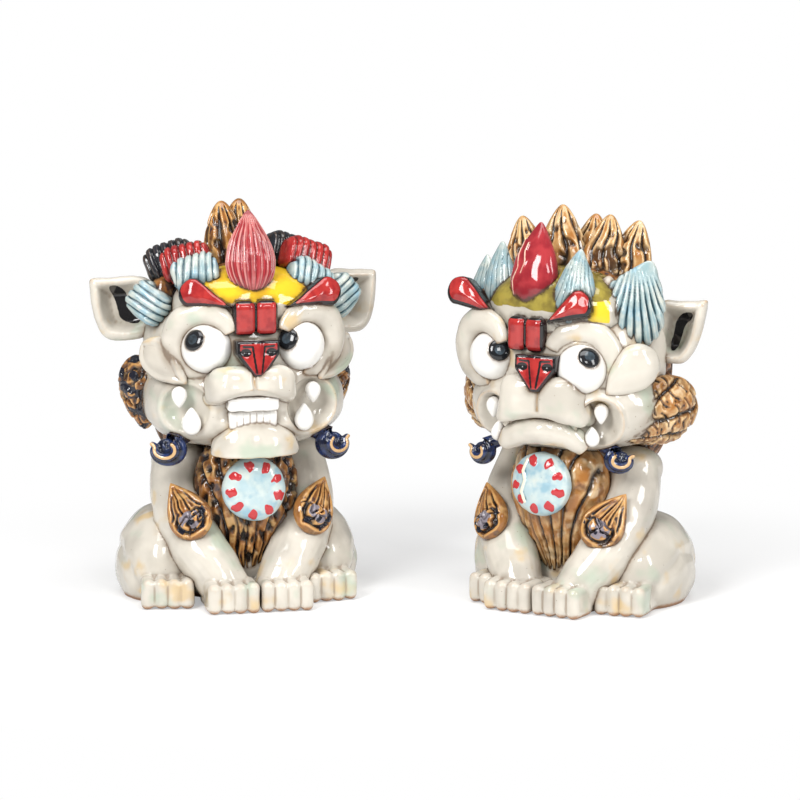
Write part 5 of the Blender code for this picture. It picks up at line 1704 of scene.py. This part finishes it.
@dataclass
class Brow:
    """A wedge over an eye, pointed towards the nose, red inside a black outline."""

    side: Side
    aside: float
    rise: float
    length: float
    forward: float = 0.0
    tilt: float = 60.0
    azimuth: float = 20.0
    width: float = 10.8
    thickness: float = 10.0

    def make(self, build: Build) -> None:
        """Cut the wedge and brush its outline."""
        sign = self.side.value
        outline = [(0.0, -self.length / 2)]
        for step in range(13):
            angle = math.pi * step / 12
            outline.append((
                self.width / 2 * math.cos(angle), self.length * (0.26 + 0.24 * math.sin(angle)),
            ))
        back = build.forehead_front + self.thickness * 0.55 - self.forward
        place = at((sign * self.aside, back, build.face.z + self.rise))
        place = place @ facing(sign * self.azimuth, 14, sign * self.tilt)
        skin = Clay().press(plate(outline, self.thickness, 1.5), place).fused(grain=0.3, rubs=3)
        view = skin.seen(place)
        inside = within(view.u, view.v, outline)
        skin.push(1.0 * ramp(inside, 0, 5) * ramp(view.square, 0.3, 0.7))
        lower = ramp(sign * view.u, -1, 2.5)
        edge = ramp(inside, 0.55 + 1.25 * lower, 0.2 + 0.9 * lower)
        skin.mark("ink", np.maximum(ramp(view.square, 0.35, 0.15), edge))
        skin.press(wave=6, depth=0.12, seed=131 + sign)
        build.kiln.add(f"brow_{self.side.word}", skin, RED)


@dataclass
class Ear:
    """A thick cupped ear that opens forwards, with a dark stroke in the cup."""

    side: Side
    rise: float
    outline: tuple[Point, ...]
    stroke: tuple[Point, ...]
    width: float = 23.5
    out: float = 39.8
    height: float = 23.4
    thickness: float = 12.5
    rim: float = 2.3

    def make(self, build: Build) -> None:
        """Cut the ear, press its cup and brush the stroke."""
        sign = self.side.value
        middle = build.by_head(0, 0.16, self.rise) + Vector((sign * self.out, 0, 0))
        place = at(middle) @ facing(sign * 12, 8, sign * 8)
        half_w, half_h = self.width / 2, self.height / 2
        outline = softened([(sign * u * half_w, v * half_h) for u, v in self.outline], 2)
        if sign < 0:
            outline.reverse()
        slab = plate(outline, self.thickness, 2.6)
        for vert in slab.verts:
            shrink = 1 - 0.30 * max(vert.co.y / self.thickness + 0.25, 0.0)
            vert.co.x *= shrink
            vert.co.z *= shrink
        skin = Clay().press(slab, place).fused(grain=0.42, rubs=4)
        view = skin.seen(place)
        cup = within(view.u, view.v, outline)
        floor = ramp(cup, self.rim, self.rim + 4.6) * ramp(view.square, 0.0, 0.5)
        skin.push(8.0 * floor, place.to_3x3() @ Vector((0, 1, 0)))
        skin.ease(3)
        skin.press(wave=9, depth=0.15, seed=91 + sign)
        skin.mark("groove", ramp(floor, 0.5, 1.0) * 0.30)
        view = skin.seen(place)
        stroke = softened([(sign * u * half_w, v * half_h) for u, v in self.stroke], 2)
        painted = ramp(within(view.u, view.v, stroke), -0.2, 0.35) * ramp(view.square, -0.3, -0.1)
        skin.mark("ink", painted * (view.near < self.thickness / 2 - 0.8))
        build.kiln.add(f"ear_{self.side.word}", skin, IVORY)


@dataclass
class CrownPetal:
    """The tall centre petal on the forehead."""

    flutes: int
    sideways: float
    drop_by: float
    size: Triple = (21.0, 13.0, 30.5)
    above_brow: float = 23.56

    def make(self, build: Build) -> None:
        """Press the petal, fluted or with drips down one side."""
        height = build.head.z + build.forehead_rise + self.above_brow - self.drop_by
        place = shift(self.sideways, build.forehead_front + 7.8, height) @ facing(lean=14)
        drop = teardrop(self.size, 0.68, self.flutes, 0.13, around=self.flutes * 14 or 140, rings=100)
        skin = Clay().press(drop, place).plain()
        view = skin.seen(place)
        if self.flutes:
            angle = np.arctan2(-view.near, view.u)
            cut = 1 - np.abs(np.cos(angle * self.flutes / 2))
            skin.mark("groove", ramp(cut, 0.5, 1.0) * 0.95)
        else:
            lines = [
                [(-4.4, 9), (-5.2, 4), (-4.6, -1), (-6.4, -6), (-5.6, -11)],
                [(-2.1, 8), (-2.7, 5), (-1.8, 1), (-2.9, -3)],
            ]
            drip = np.zeros(len(view.u))
            for line in lines:
                drip = np.maximum(drip, np.exp(-(beside(view.u, view.v, line) / 0.5) ** 2))
            drip *= ramp(view.square, 0.1, 0.5)
            skin.push(0.45 * drip)
            hem = ramp(view.v, -12.9, -13.9) * ramp(view.square, -0.2, 0.2)
            skin.mark("paint", np.maximum(drip * 0.62, hem * 0.8))
        skin.press(wave=9, depth=0.12, seed=101)
        build.kiln.add("crown_petal", skin, ROSE)


class Form(Enum):
    """How a tuft of the crown is made."""

    PAD = "a cushion with round ridges"
    SHELL = "a drop fluted from its tip, scalloped at the hem"
    PETAL = "a drop with fine lines drawn down it"


@dataclass(frozen=True)
class Tuft:
    """One lump of the crown: its place by the head, its form and its finish."""

    across: float
    back: float
    up: float
    size: Triple
    form: Form
    lean: float
    azimuth: float
    tilt: float
    glaze: Glaze
    pitch: float = 2.9
    depth: float = 0.9
    skew: float = 0.0

    def lump(self) -> Lump:
        """The tuft before it is combed."""
        if self.form is Form.PAD:
            return block(self.size, min(self.size) * 0.36, 6)
        return teardrop(self.size, 0.68, around=140, rings=90)

    def comb(self, skin: Skin, place: Matrix, seed: int) -> None:
        """Comb the skin as its form asks.

        Args:
            skin: The tuft's surface.
            place: Where the tuft is.
            seed: Which unevenness.
        """
        view = skin.seen(place)
        top = self.size[2] / 2
        bend = wobble(skin.points, 14, seed) * 0.22
        around = ramp(view.square, -0.6, 0.0)
        if self.form is Form.PAD:
            waves = (view.u + self.skew * view.v) / self.pitch * math.pi + math.pi / 2
            crest = np.abs(np.sin(waves + bend))
            cut = 1 - ramp(crest, 0.0, 0.85)
            line = (1 - ramp(crest, 0.0, 0.45)) * around
        elif self.form is Form.SHELL:
            spread = np.arctan2(view.u + self.skew * (view.v + top), top * 1.3 - view.v)
            crest = np.abs(np.cos(spread * self.size[2] * 1.15 / self.pitch * math.pi + bend))
            reach = ramp(view.v, top * 0.92, top * 0.1)
            cut = (1 - ramp(crest, 0.0, 0.9)) * reach
            line = (1 - ramp(crest, 0.0, 0.35)) * reach * around
        else:
            spread = np.arctan2(view.u, top * 1.5 - view.v)
            crest = np.abs(np.cos(spread * self.size[2] * 1.25 / self.pitch * math.pi + bend * 2))
            cut = (1 - ramp(crest, 0.0, 0.4)) * ramp(view.v, top * 0.95, top * 0.6)
            line = cut * around
        skin.push(-self.depth * cut * around)
        skin.mark("groove", line * 0.95)


@dataclass
class CrownTufts:
    """The fluted tufts that fan out beside the crown petal, on one strip of clay."""

    side: Side
    tufts: tuple[Tuft, ...]

    def make(self, build: Build) -> None:
        """Press each tuft, comb it and lay the strip under them."""
        roots = []
        node = f"crown_tufts_{self.side.word}"
        for number, tuft in enumerate(self.tufts):
            middle = build.by_head(tuft.across, tuft.back, tuft.up)
            turn = facing(tuft.azimuth, tuft.lean, tuft.tilt)
            place = at(middle) @ turn
            roots.append(middle + turn @ Vector((0, tuft.size[1] * 0.15, -tuft.size[2] * 0.28)))
            skin = Clay().press(tuft.lump(), place).fused(grain=0.36, rubs=3)
            tuft.comb(skin, place, 111 + number)
            skin.press(wave=7, depth=0.15, seed=121 + number)
            build.kiln.add(f"{node}_{number + 1}", skin, tuft.glaze, node)
        path = [roots[0]]
        for last, following in zip(roots, roots[1:]):
            between = (last + following) / 2
            outward = (between - build.head).normalized()
            path += [between + outward * 2.9, following]
        strip = Clay().press(coil(path, [4.2] * len(path))).fused(grain=0.6, rubs=3)
        build.kiln.add(f"{node}_strip", strip, AMBER, node)


@dataclass
class CheekMane:
    """The pad of mane that covers the side of the head behind the jaw."""

    side: Side
    size: Triple
    back: float
    up: float
    azimuth: float
    tilt: float
    ribs: float
    seed: int
    glaze: Glaze
    aside: float = 0.475

    def make(self, build: Build) -> None:
        """Press the pad, comb it in a fan, chop across the ribs and tear at the rest."""
        sign = self.side.value
        out = sign * build.jaw_size[0] * self.aside
        middle = build.by_head(0, self.back, self.up) + Vector((out, 0, 0))
        place = at(middle) @ facing(sign * self.azimuth, -4, sign * self.tilt)
        pad = teardrop(self.size, 0.5)
        pad.transform(facing(tilt=180))
        skin = Clay().press(pad, place).fused(grain=0.42, rubs=3)
        view = skin.seen(place)
        low = -self.size[2] / 2
        spread = np.arctan2(view.u, view.v - low + 8)
        run = np.hypot(view.u, view.v - low + 8)
        warp = wobble(skin.points, 12, self.seed)
        comb = np.abs(np.sin(spread * 12 + warp * 0.8))
        rungs = np.abs(np.sin(run * 0.62 + np.round(spread * 12 / math.pi) * 1.9 + warp * 1.1))
        front = ramp(view.square, -0.3, 0.2)
        cut = (1 - ramp(comb, 0.0, 0.68)) * front * self.ribs
        cross = (1 - ramp(rungs, 0.0, 0.38)) * front * self.ribs * 0.9
        torn = ramp(wobble(skin.points, 5.5, self.seed + 1), 0.0, 0.5) * front * (1.35 - self.ribs)
        skin.push(-1.3 * cut - 0.8 * cross - 1.3 * torn)
        skin.mark("groove", np.maximum(np.maximum(cut, cross), torn * 0.8))
        burnt = ramp(wobble(skin.points, 8, self.seed + 2), 0.15, 0.45)
        skin.mark("ink", burnt * (1.2 - self.ribs) * front)
        build.kiln.add(f"cheek_mane_{self.side.word}", skin, self.glaze)


@dataclass
class Curl:
    """A small knot of beard under the corner of the jaw, its tip flicked outwards."""

    side: Side
    aside: float
    drop_by: float
    radius: float = 3.4
    roll: float = 3.8

    def make(self, build: Build) -> None:
        """Roll the knot and run a bare line along it."""
        sign = self.side.value
        turns = arc(self.radius, 120, 395, 32)
        path = [Vector((-sign * 6.5, 4.0, 4.5))]
        for number, point in enumerate(turns):
            path.append(Vector((sign * point.x * 1.15, -0.03 * number, point.z * 0.85)))
        for back, flick in ((3, 0.2), (2, 0.9), (1, 2.3)):
            path[-back] += Vector((sign * flick, 0, flick * 0.15))
        radii = [self.roll * 0.8, *swell(32, self.roll * 0.9, self.roll * 0.68, self.roll * 0.2)]
        wide, deep, _ = build.jaw_size
        corner = Vector((sign * wide * self.aside, -deep / 2, -build.jaw_drop - self.drop_by))
        place = build.mouth @ at(build.head + corner) @ facing(sign * 20)
        clay = Clay().press(coil(path, radii), place)
        knot = ball((self.roll * 1.8, self.roll * 1.6, self.roll * 1.6), 2.0, 40, 28)
        skin = clay.press(knot, place @ shift(0, 0.5, 0.5)).fused(grain=0.3, rubs=3)
        view = skin.seen(place)
        line = [(point.x, point.z) for point in path[2:]]
        from_line = beside(view.u, view.v, line)
        front = ramp(view.square, 0.35, 0.7)
        gutter = np.exp(-((from_line - 2.1) / 0.6) ** 2) * front
        skin.push(0.35 * np.exp(-(from_line / 0.7) ** 2) * front - 0.5 * gutter)
        skin.mark("paint", np.exp(-(from_line / 0.62) ** 2) * front)
        skin.mark("groove", gutter)
        build.kiln.add(f"curl_{self.side.word}", skin, COBALT)


SIDE_PAD = (13.6, 13.0, 16.4)
TOP_PAD = (18.6, 13.0, 14.2)
FRONT_PAD = (17.4, 12.0, 12.8)
OPEN_EAR = (
    (-1.0, 0.92), (0.70, 1.02), (1.02, 1.06), (1.06, 0.76), (1.05, -0.20), (0.90, -0.74), (0.52, -1.04),
    (-0.7, -1.04), (-1.1, -0.4),
)
CLOSED_EAR = (
    (-1.0, 0.90), (0.2, 0.94), (0.88, 1.08), (1.15, 1.14), (1.15, 0.86), (1.08, -0.20), (0.86, -0.74),
    (0.45, -1.06), (-0.7, -1.04), (-1.1, -0.4),
)
OPEN_STROKE = (
    (0.50, 0.72), (0.34, 0.30), (0.30, 0.0), (0.26, -0.40), (-0.32, -0.62), (-0.42, -0.30), (-0.10, 0.05),
    (-0.05, 0.50), (0.20, 0.74),
)
CLOSED_PATCH = ((18.5, -1.0), (24.5, -1.5), (24.0, 6.5), (18.0, 6.0))
CLOSED_STROKE = (
    (0.58, 0.66), (0.1, 0.58), (-0.24, 0.30), (-0.20, -0.1), (-0.30, -0.52), (0.05, -0.72), (0.16, -0.2),
    (0.20, 0.22), (0.50, 0.42),
)


@dataclass
class Lion:
    """One of the pair: every sub-assembly with the sizes that this lion has."""

    kind: Mouth
    stand: Triple

    def parts(self, build: Build) -> None:
        """Make every piece."""
        raise NotImplementedError

    def shared(
        self, build: Build, limbs: Sequence[FrontLeg | Haunch | ElbowTuft], bib: Bib, seed: int,
    ) -> None:
        """Make the trunk, the limbs and the bib.

        Args:
            build: The lion's sizes and kiln.
            limbs: The legs and their tufts.
            bib: The chest mane.
            seed: The chest mane's unevenness.
        """
        Torso().make(build)
        for limb in limbs:
            limb.make(build)
        Tail().make(build)
        bib.make(build, seed)

    def make(self) -> None:
        """Build, dress and fire the lion."""
        x, y, turn = self.stand
        kiln = Kiln(self.kind.value, shift(x, y) @ facing(turn))
        self.parts(Build(kiln))
        kiln.fire()


class OpenLion(Lion):
    """The lion with the open mouth, on the left."""

    def parts(self, build: Build) -> None:
        """Make every piece."""
        self.shared(build, (
            FrontLeg(Side.LEFT, wrist_in=2.6), FrontLeg(Side.RIGHT, wrist_in=1.2),
            ElbowTuft(Side.LEFT, 41), ElbowTuft(Side.RIGHT, 39),
            Haunch(Side.LEFT, paw_out=28.0), Haunch(Side.RIGHT, bulge=2.0),
        ), Bib(24.0, 1.0, AMBER), 201)
        flames = ((-0.13, 0.02, 1.19, -3, 0.98), (0.05, 0.12, 1.20, 3, 0.98))
        Head(flames, YELLOW, 111.4, 0.36, AMBER, (17.0, 13.0, 32.0)).make(build, 211)
        scoops = Scoops((20.0, 7.0, 20.0), 46.5, -2.4, 0.0, 0.7, (6.4, 7.8), (7.8, 10.0), (4.3, -4.2), 1.2)
        Face(scoops).make(build, True)
        Muzzle((33.0, 22.0, 14.8), -1.9, -9.5, 5.2, 0.0, (0.34, -0.10), True, 16.0, 3.9).make(build)
        OpenLip().make(build)
        Nose().make(build)
        for side, gaze, eye_moved, hood_moved in (
            (Side.LEFT, (-41, 21), (-1.6, -0.8), (0.6, -1.9, 0)),
            (Side.RIGHT, (-46, 26), (1.8, -0.8), (1.8, -2.1, 0)),
        ):
            EyeHood(side, (23.6, 9.0, 15.0), (29.4, -0.6), (44, 36), hood_moved, leaf_sunk=1.2).make(build)
            Eye(side, gaze, eye_moved).make(build)
            Ear(side, 0.52, OPEN_EAR, OPEN_STROKE).make(build)
            CheekMane(side, (24.0, 18.0, 28.0), 0.08, -0.40, 72, 0, 0.45, 221, AMBER).make(build)
            Curl(side, 0.425, 15.2).make(build)
        Brow(Side.LEFT, 21.3, 22.2, 22.5, tilt=77).make(build)
        Brow(Side.RIGHT, 16.2, 22.8, 20.0, tilt=72).make(build)
        CrownPetal(20, 0.0, 1.6).make(build)
        pad = Form.PAD
        CrownTufts(Side.RIGHT, (
            Tuft(-1.08, -0.45, 0.63, SIDE_PAD, pad, 10, -30, -48, HAZE, skew=0.25),
            Tuft(-0.80, -0.18, 1.04, TOP_PAD, pad, 12, -20, -22, BLACK),
            Tuft(-0.65, -0.46, 1.05, TOP_PAD, pad, 16, -18, -16, RED),
            Tuft(-0.60, -0.76, 0.98, FRONT_PAD, pad, 20, -14, -18, HAZE, skew=-0.3),
        )).make(build)
        CrownTufts(Side.LEFT, (
            Tuft(1.12, -0.43, 0.64, SIDE_PAD, pad, 10, 30, 48, HAZE, skew=-0.25),
            Tuft(0.58, -0.12, 1.08, TOP_PAD, pad, 12, 20, 20, BLACK),
            Tuft(0.74, -0.42, 1.05, TOP_PAD, pad, 16, 18, 22, RED),
            Tuft(0.73, -0.74, 0.87, FRONT_PAD, pad, 20, 14, 34, HAZE, skew=0.3),
        )).make(build)
        Medallion(13.0, False).make(build)


class ClosedLion(Lion):
    """The lion with the closed mouth, on the right."""

    def parts(self, build: Build) -> None:
        """Make every piece."""
        neck = at(build.head)
        build.mouth = neck @ facing(9) @ neck.inverted()
        build.eye_drop, build.nose_drop = 2.2, 4.7
        self.shared(build, (
            FrontLeg(Side.LEFT, 2.8), FrontLeg(Side.RIGHT, 2.8),
            ElbowTuft(Side.LEFT, 43, 1.6), ElbowTuft(Side.RIGHT, 41, 2.8),
            Haunch(Side.LEFT), Haunch(Side.RIGHT, 23.5, 16.5, 35.0),
        ), Bib(25.0, 0.3, HONEY), 301)
        Head((
            (-0.72, -0.05, 1.03, -12, 0.95), (-0.23, -0.10, 1.13, -4, 1.06), (-0.06, 0.35, 1.04, 3, 0.98),
            (0.27, -0.02, 1.07, 6, 1.02), (0.54, 0.10, 1.03, 12, 1.0),
        ), OLIVE, 109.4, 0.52, HONEY, (20.5, 14.0, 32.0), CLOSED_PATCH).make(build, 311)
        scoops = Scoops((14.6, 7.0, 18.6), 39.8, -3.0, -5.0, 1.1, (5.8, 7.6), (6.4, 7.4), (4.2, -4.1), 1.4)
        Face(scoops).make(build, False)
        Muzzle((35.5, 22.0, 19.6), -3.0, -14.0, 4.6, 0.17, (0.24, -0.14), False, 5.0, 4.2).make(build)
        ClosedLip().make(build)
        Nose((-3.9, -1.8), 3.5, 14.6).make(build)
        for side, gaze, moved in (
            (Side.LEFT, (48, 36), (-2.8, -5.0)),
            (Side.RIGHT, (39, 20), (-1.0, -2.8)),
        ):
            near = side is Side.LEFT
            hood_moved = (-4.8, -1.0, -3.6) if near else (-3.0, -3.0, -2.2)
            EyeHood(side, (24.0, 10.0, 16.5), (30.2, 0.2), (44, 40), hood_moved, near, 0.2).make(build)
            Eye(side, gaze, moved).make(build)
            Ear(side, 0.34, CLOSED_EAR, CLOSED_STROKE, 17.4, 36.4).make(build)
            CheekMane(side, (28.0, 19.0, 36.0), -0.35, -0.50, 62, 72, 1.0, 321, HONEY).make(build)
            Curl(side, 0.32 if near else 0.41, 18.0, 2.7, 3.1).make(build)
        Brow(Side.LEFT, 11.0, 19.4, 18.0, 2.4).make(build)
        Brow(Side.RIGHT, 28.4, 20.2, 21.5, azimuth=-8.0).make(build)
        CrownPetal(0, -5.2, 6.8, (21.0, 13.0, 32.6)).make(build)
        shell, petal = Form.SHELL, Form.PETAL
        CrownTufts(Side.LEFT, (
            Tuft(0.38, -1.03, 0.86, (17.5, 12.0, 29.0), petal, 8, 14, 6, HAZE, 3.0, 0.45),
            Tuft(0.60, -0.66, 0.80, (13.0, 11.0, 12.0), shell, 8, 20, 10, IVORY, 3.4, 0.5),
            Tuft(0.91, -0.57, 0.68, (29.5, 14.0, 34.0), shell, 4, 26, 21, HAZE, 4.4, 1.4, 0.2),
        )).make(build)
        CrownTufts(Side.RIGHT, (
            Tuft(-0.70, -0.80, 0.88, (16.5, 10.0, 27.0), petal, 8, -14, -4, HAZE, 4.0, 0.4),
            Tuft(-1.00, -0.58, 0.74, (16.0, 10.0, 24.0), petal, 8, -24, -8, HAZE, 4.0, 0.4),
        )).make(build)
        Medallion(10.5, True).make(build)


# The studio


@dataclass(frozen=True)
class Softbox:
    """A soft lamp: where it is, how big, how strong, and what it points at."""

    name: str
    place: Triple
    width: float
    height: float
    power: float
    aim: Triple = (0.0, 0.0, 0.07)

    def hang(self) -> None:
        """Hang the lamp."""
        lamp = bpy.data.lights.new(self.name, "AREA")
        lamp.shape = "RECTANGLE"
        lamp.size = self.width
        lamp.size_y = self.height
        lamp.energy = self.power
        made = shown(self.name, lamp)
        made.location = self.place
        made.rotation_euler = (Vector(self.aim) - Vector(self.place)).to_track_quat("-Z", "Y").to_euler()


@dataclass
class Studio:
    """The table, the lamps, the white surroundings and the camera."""

    elevation: float = 10.0
    distance: float = 1.6
    frame_width: float = 800 / 2.74 * MM
    table_radius: float = 4.0
    fill: float = 0.23
    centre: Triple = (-0.0019, 0.0, 0.0723)

    def table(self) -> None:
        """Lay a pale table that keeps the lions' shadow."""
        top = bmesh.new()
        bmesh.ops.create_circle(top, cap_ends=True, segments=96, radius=self.table_radius)
        mesh = bpy.data.meshes.new("table")
        top.to_mesh(mesh)
        top.free()
        bench = Bench(bpy.data.materials.new("table_paper"))
        seen = bench.node("ShaderNodeLightPath", {}, {}, "Is Camera Ray")
        spot = bench.node("ShaderNodeTexCoord", {}, {}, "Object")
        far = bench.node("ShaderNodeVectorMath", {"operation": "LENGTH"}, {"Vector": spot}, "Value")
        grain = bench.noise(spot, 2.0)
        colour = bench.mix((0.83, 0.83, 0.83), (0.86, 0.86, 0.86), grain)
        paper = {"Base Color": colour, "Roughness": 0.9, "Emission Color": (1.0, 1.0, 1.0)}
        lit = bench.node("ShaderNodeBsdfPrincipled", {}, paper)
        glow = bench.node("ShaderNodeEmission", {}, {"Color": (1.0, 1.0, 1.0), "Strength": 1.0})
        share = seen * (far.step(0.10, 0.24) * 0.6 + 0.4)
        mixed = bench.node("ShaderNodeMixShader", {}, {"Fac": share, "Shader": lit, "Shader_001": glow})
        bench.node("ShaderNodeOutputMaterial", {}, {"Surface": mixed})
        mesh.materials.append(bench.owner)
        shown("table", mesh)

    def surroundings(self) -> None:
        """White to the camera, and a plain fill for everything else."""
        bpy.context.scene.world = bpy.data.worlds.new("surroundings")
        bench = Bench(bpy.context.scene.world)
        seen = bench.node("ShaderNodeLightPath", {}, {}, "Is Camera Ray")
        white, fill = (
            bench.node("ShaderNodeBackground", {}, {"Color": (1.0, 1.0, 1.0), "Strength": strength})
            for strength in (1.0, self.fill)
        )
        mixed = bench.node("ShaderNodeMixShader", {}, {"Fac": seen, "Shader": fill, "Shader_001": white})
        bench.node("ShaderNodeOutputWorld", {}, {"Surface": mixed})

    def lamps(self) -> None:
        """Hang the soft lamps."""
        for box in (
            Softbox("key", (-0.42, -0.70, 0.62), 0.30, 0.42, 8.4),
            Softbox("front", (0.24, -0.78, 0.56), 0.20, 0.20, 1.7),
            Softbox("side", (0.70, -0.50, 0.42), 0.18, 0.50, 3.6),
            Softbox("top", (0.0, -0.15, 0.90), 0.7, 0.4, 5.0),
        ):
            box.hang()

    def camera(self) -> None:
        """Set the camera at the height and the angle of the photograph."""
        lens = bpy.data.cameras.new("camera")
        lens.sensor_width = 36
        lens.lens = 36 * self.distance / self.frame_width
        lens.clip_end = 20
        made = shown("camera", lens)
        angle = math.radians(self.elevation)
        back = Vector((0, -math.cos(angle), math.sin(angle))) * self.distance
        made.location = Vector(self.centre) + back
        made.rotation_euler = (math.radians(90) - angle, 0, 0)
        bpy.context.scene.camera = made

    def set_up(self) -> None:
        """Set up the studio."""
        bpy.context.scene.view_settings.view_transform = "Standard"
        self.table()
        self.surroundings()
        self.lamps()
        self.camera()


def main() -> None:
    """Build both lions and the studio."""
    logging.basicConfig(level=logging.INFO, format="%(message)s")
    OpenLion(Mouth.OPEN, (-61.003, 7.221, 13.0)).make()
    ClosedLion(Mouth.CLOSED, (62.997, 1.221, -30.0)).make()
    Studio().set_up()


if __name__ == "__main__":
    main()
